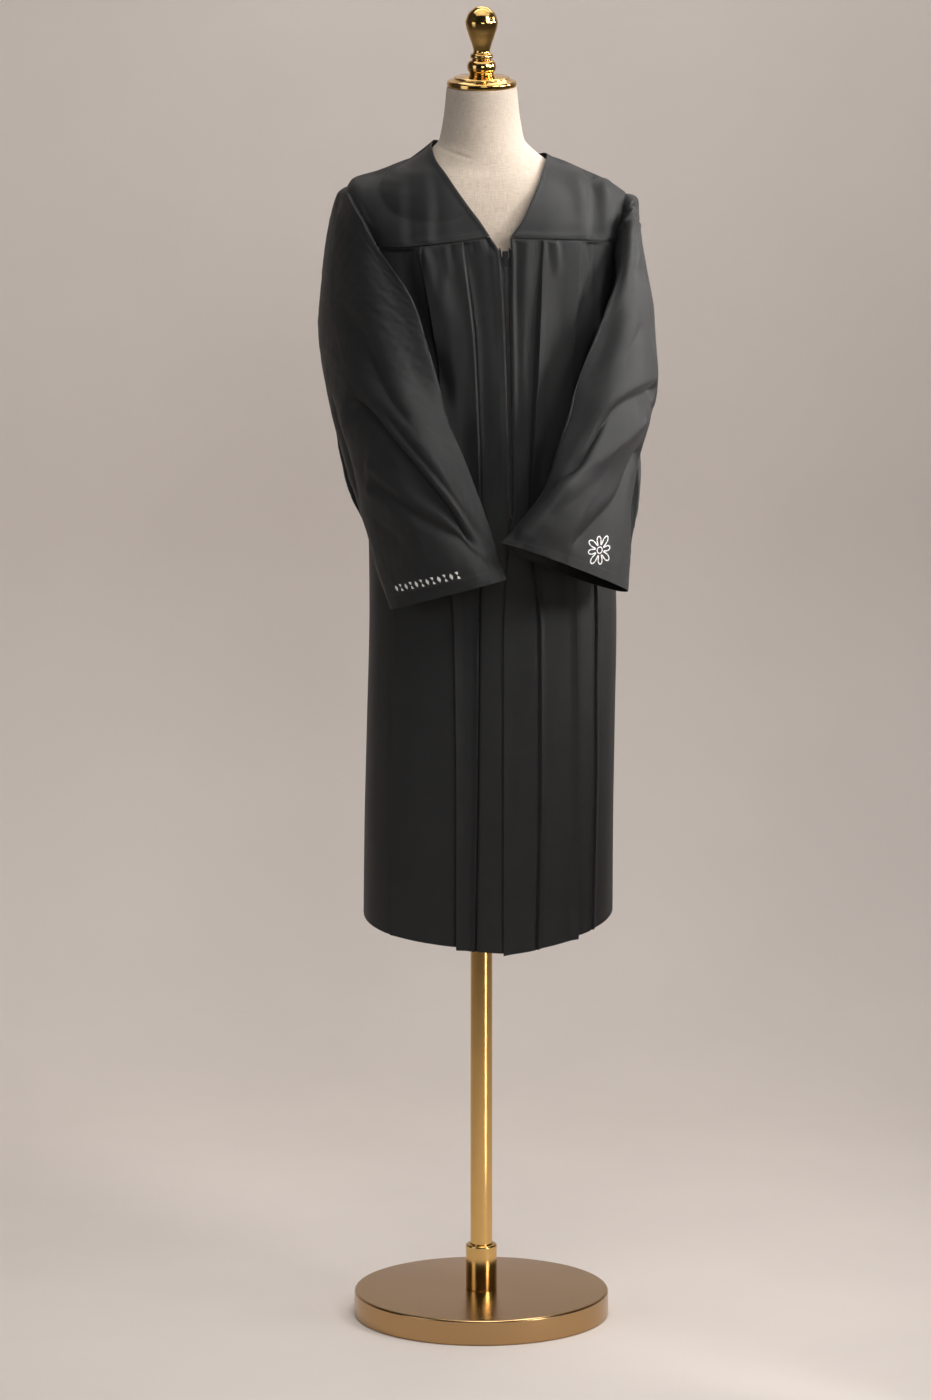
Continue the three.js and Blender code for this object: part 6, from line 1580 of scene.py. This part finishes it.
area_light("key", (1.9, -1.6, 3.0), (0.1, 0.0, 1.62), (0.9, 1.2), 3.05, (1.0, 0.975, 0.94), 50)
area_light("side", (1.55, -0.45, 2.05), (0.22, 0.0, 1.56), (0.4, 0.8), 2.5, (1.0, 0.985, 0.96), 34)
area_light("edge", (2.2, 0.5, 2.2), (0.26, 0.0, 1.60), (0.4, 0.7), 1.3, (1.0, 0.985, 0.96), 28)
area_light("strip", (0.62, -0.58, 0.25), (0.0, 0.0, 0.20), (0.14, 0.48), 0.24, (1.0, 0.975, 0.94), 44)
area_light("fill", (-2.7, -1.6, 1.7), (0.0, 0.0, 1.2), (1.4, 2.6), 4.4, (0.96, 0.98, 1.0), 90)
area_light("front", (0.5, -3.4, 2.5), (0.05, 0.0, 1.45), (1.2, 1.2), 1.25, (1.0, 0.99, 0.97), 40)
area_light("top", (0.1, -0.2, 3.4), (0.1, 0.1, 0.0), (2.4, 1.6), 7.6, (1.0, 0.98, 0.95), 110)
area_light("floor_right", (1.6, -0.6, 3.3), (0.5, -0.3, 0.0), (1.2, 0.8), 3.6, (1.0, 0.98, 0.95), 60)
area_light("floor_front", (0.1, -1.9, 3.2), (0.0, -0.8, 0.0), (1.8, 0.8), 5.6, (1.0, 0.98, 0.95), 60)
area_light("rim", (0.4, 1.2, 3.0), (0.0, 0.0, 1.4), (1.6, 0.6), 3.6, (1.0, 0.98, 0.95), 120)
area_light("wall_wash", (0.3, 0.6, 3.6), (0.2, 1.9, 2.0), (3.2, 0.6), 27, (1.0, 0.975, 0.945), 140)

world = bpy.data.worlds.new("room")
bpy.context.scene.world = world
world.use_nodes = True
nt = world.node_tree
bg = nt.nodes["Background"]
tc = node(nt, "ShaderNodeTexCoord")
sep = node(nt, "ShaderNodeSeparateXYZ")
nt.links.new(tc.outputs["Generated"], sep.inputs[0])
# darker straight ahead of the gown, pale to the sides and behind
col = ramp(nt, sep.outputs[1], [(0.0, (0.12, 0.115, 0.11)), (0.3, (0.4, 0.38, 0.36)), (1.0, (0.95, 0.9, 0.85))])
mapr = node(nt, "ShaderNodeMapRange")
mapr.inputs["From Min"].default_value = -1.0
mapr.inputs["From Max"].default_value = 1.0
nt.links.new(sep.outputs[1], mapr.inputs["Value"])
nt.links.new(mapr.outputs["Result"], col.node.inputs["Fac"])
nt.links.new(col, bg.inputs["Color"])
bg.inputs["Strength"].default_value = 0.09

# ------------------------------------------------------------------ the camera, at the photograph's angle
cam = bpy.data.cameras.new("camera")
cam.sensor_fit = "AUTO"
cam.sensor_width = 36.0
cam.lens = 9653.0 / 1400.0 * 36.0
cam.clip_end = 60.0
cam_ob = bpy.data.objects.new("camera", cam)
bpy.context.scene.collection.objects.link(cam_ob)
cam_ob.location = (-0.024, -14.2, 3.79)
cam_ob.rotation_euler = (math.pi / 2 - math.asin(0.19611), 0, 0)
bpy.context.scene.camera = cam_ob
bpy.context.scene.view_settings.view_transform = "Standard"
bpy.context.scene.view_settings.look = "None"
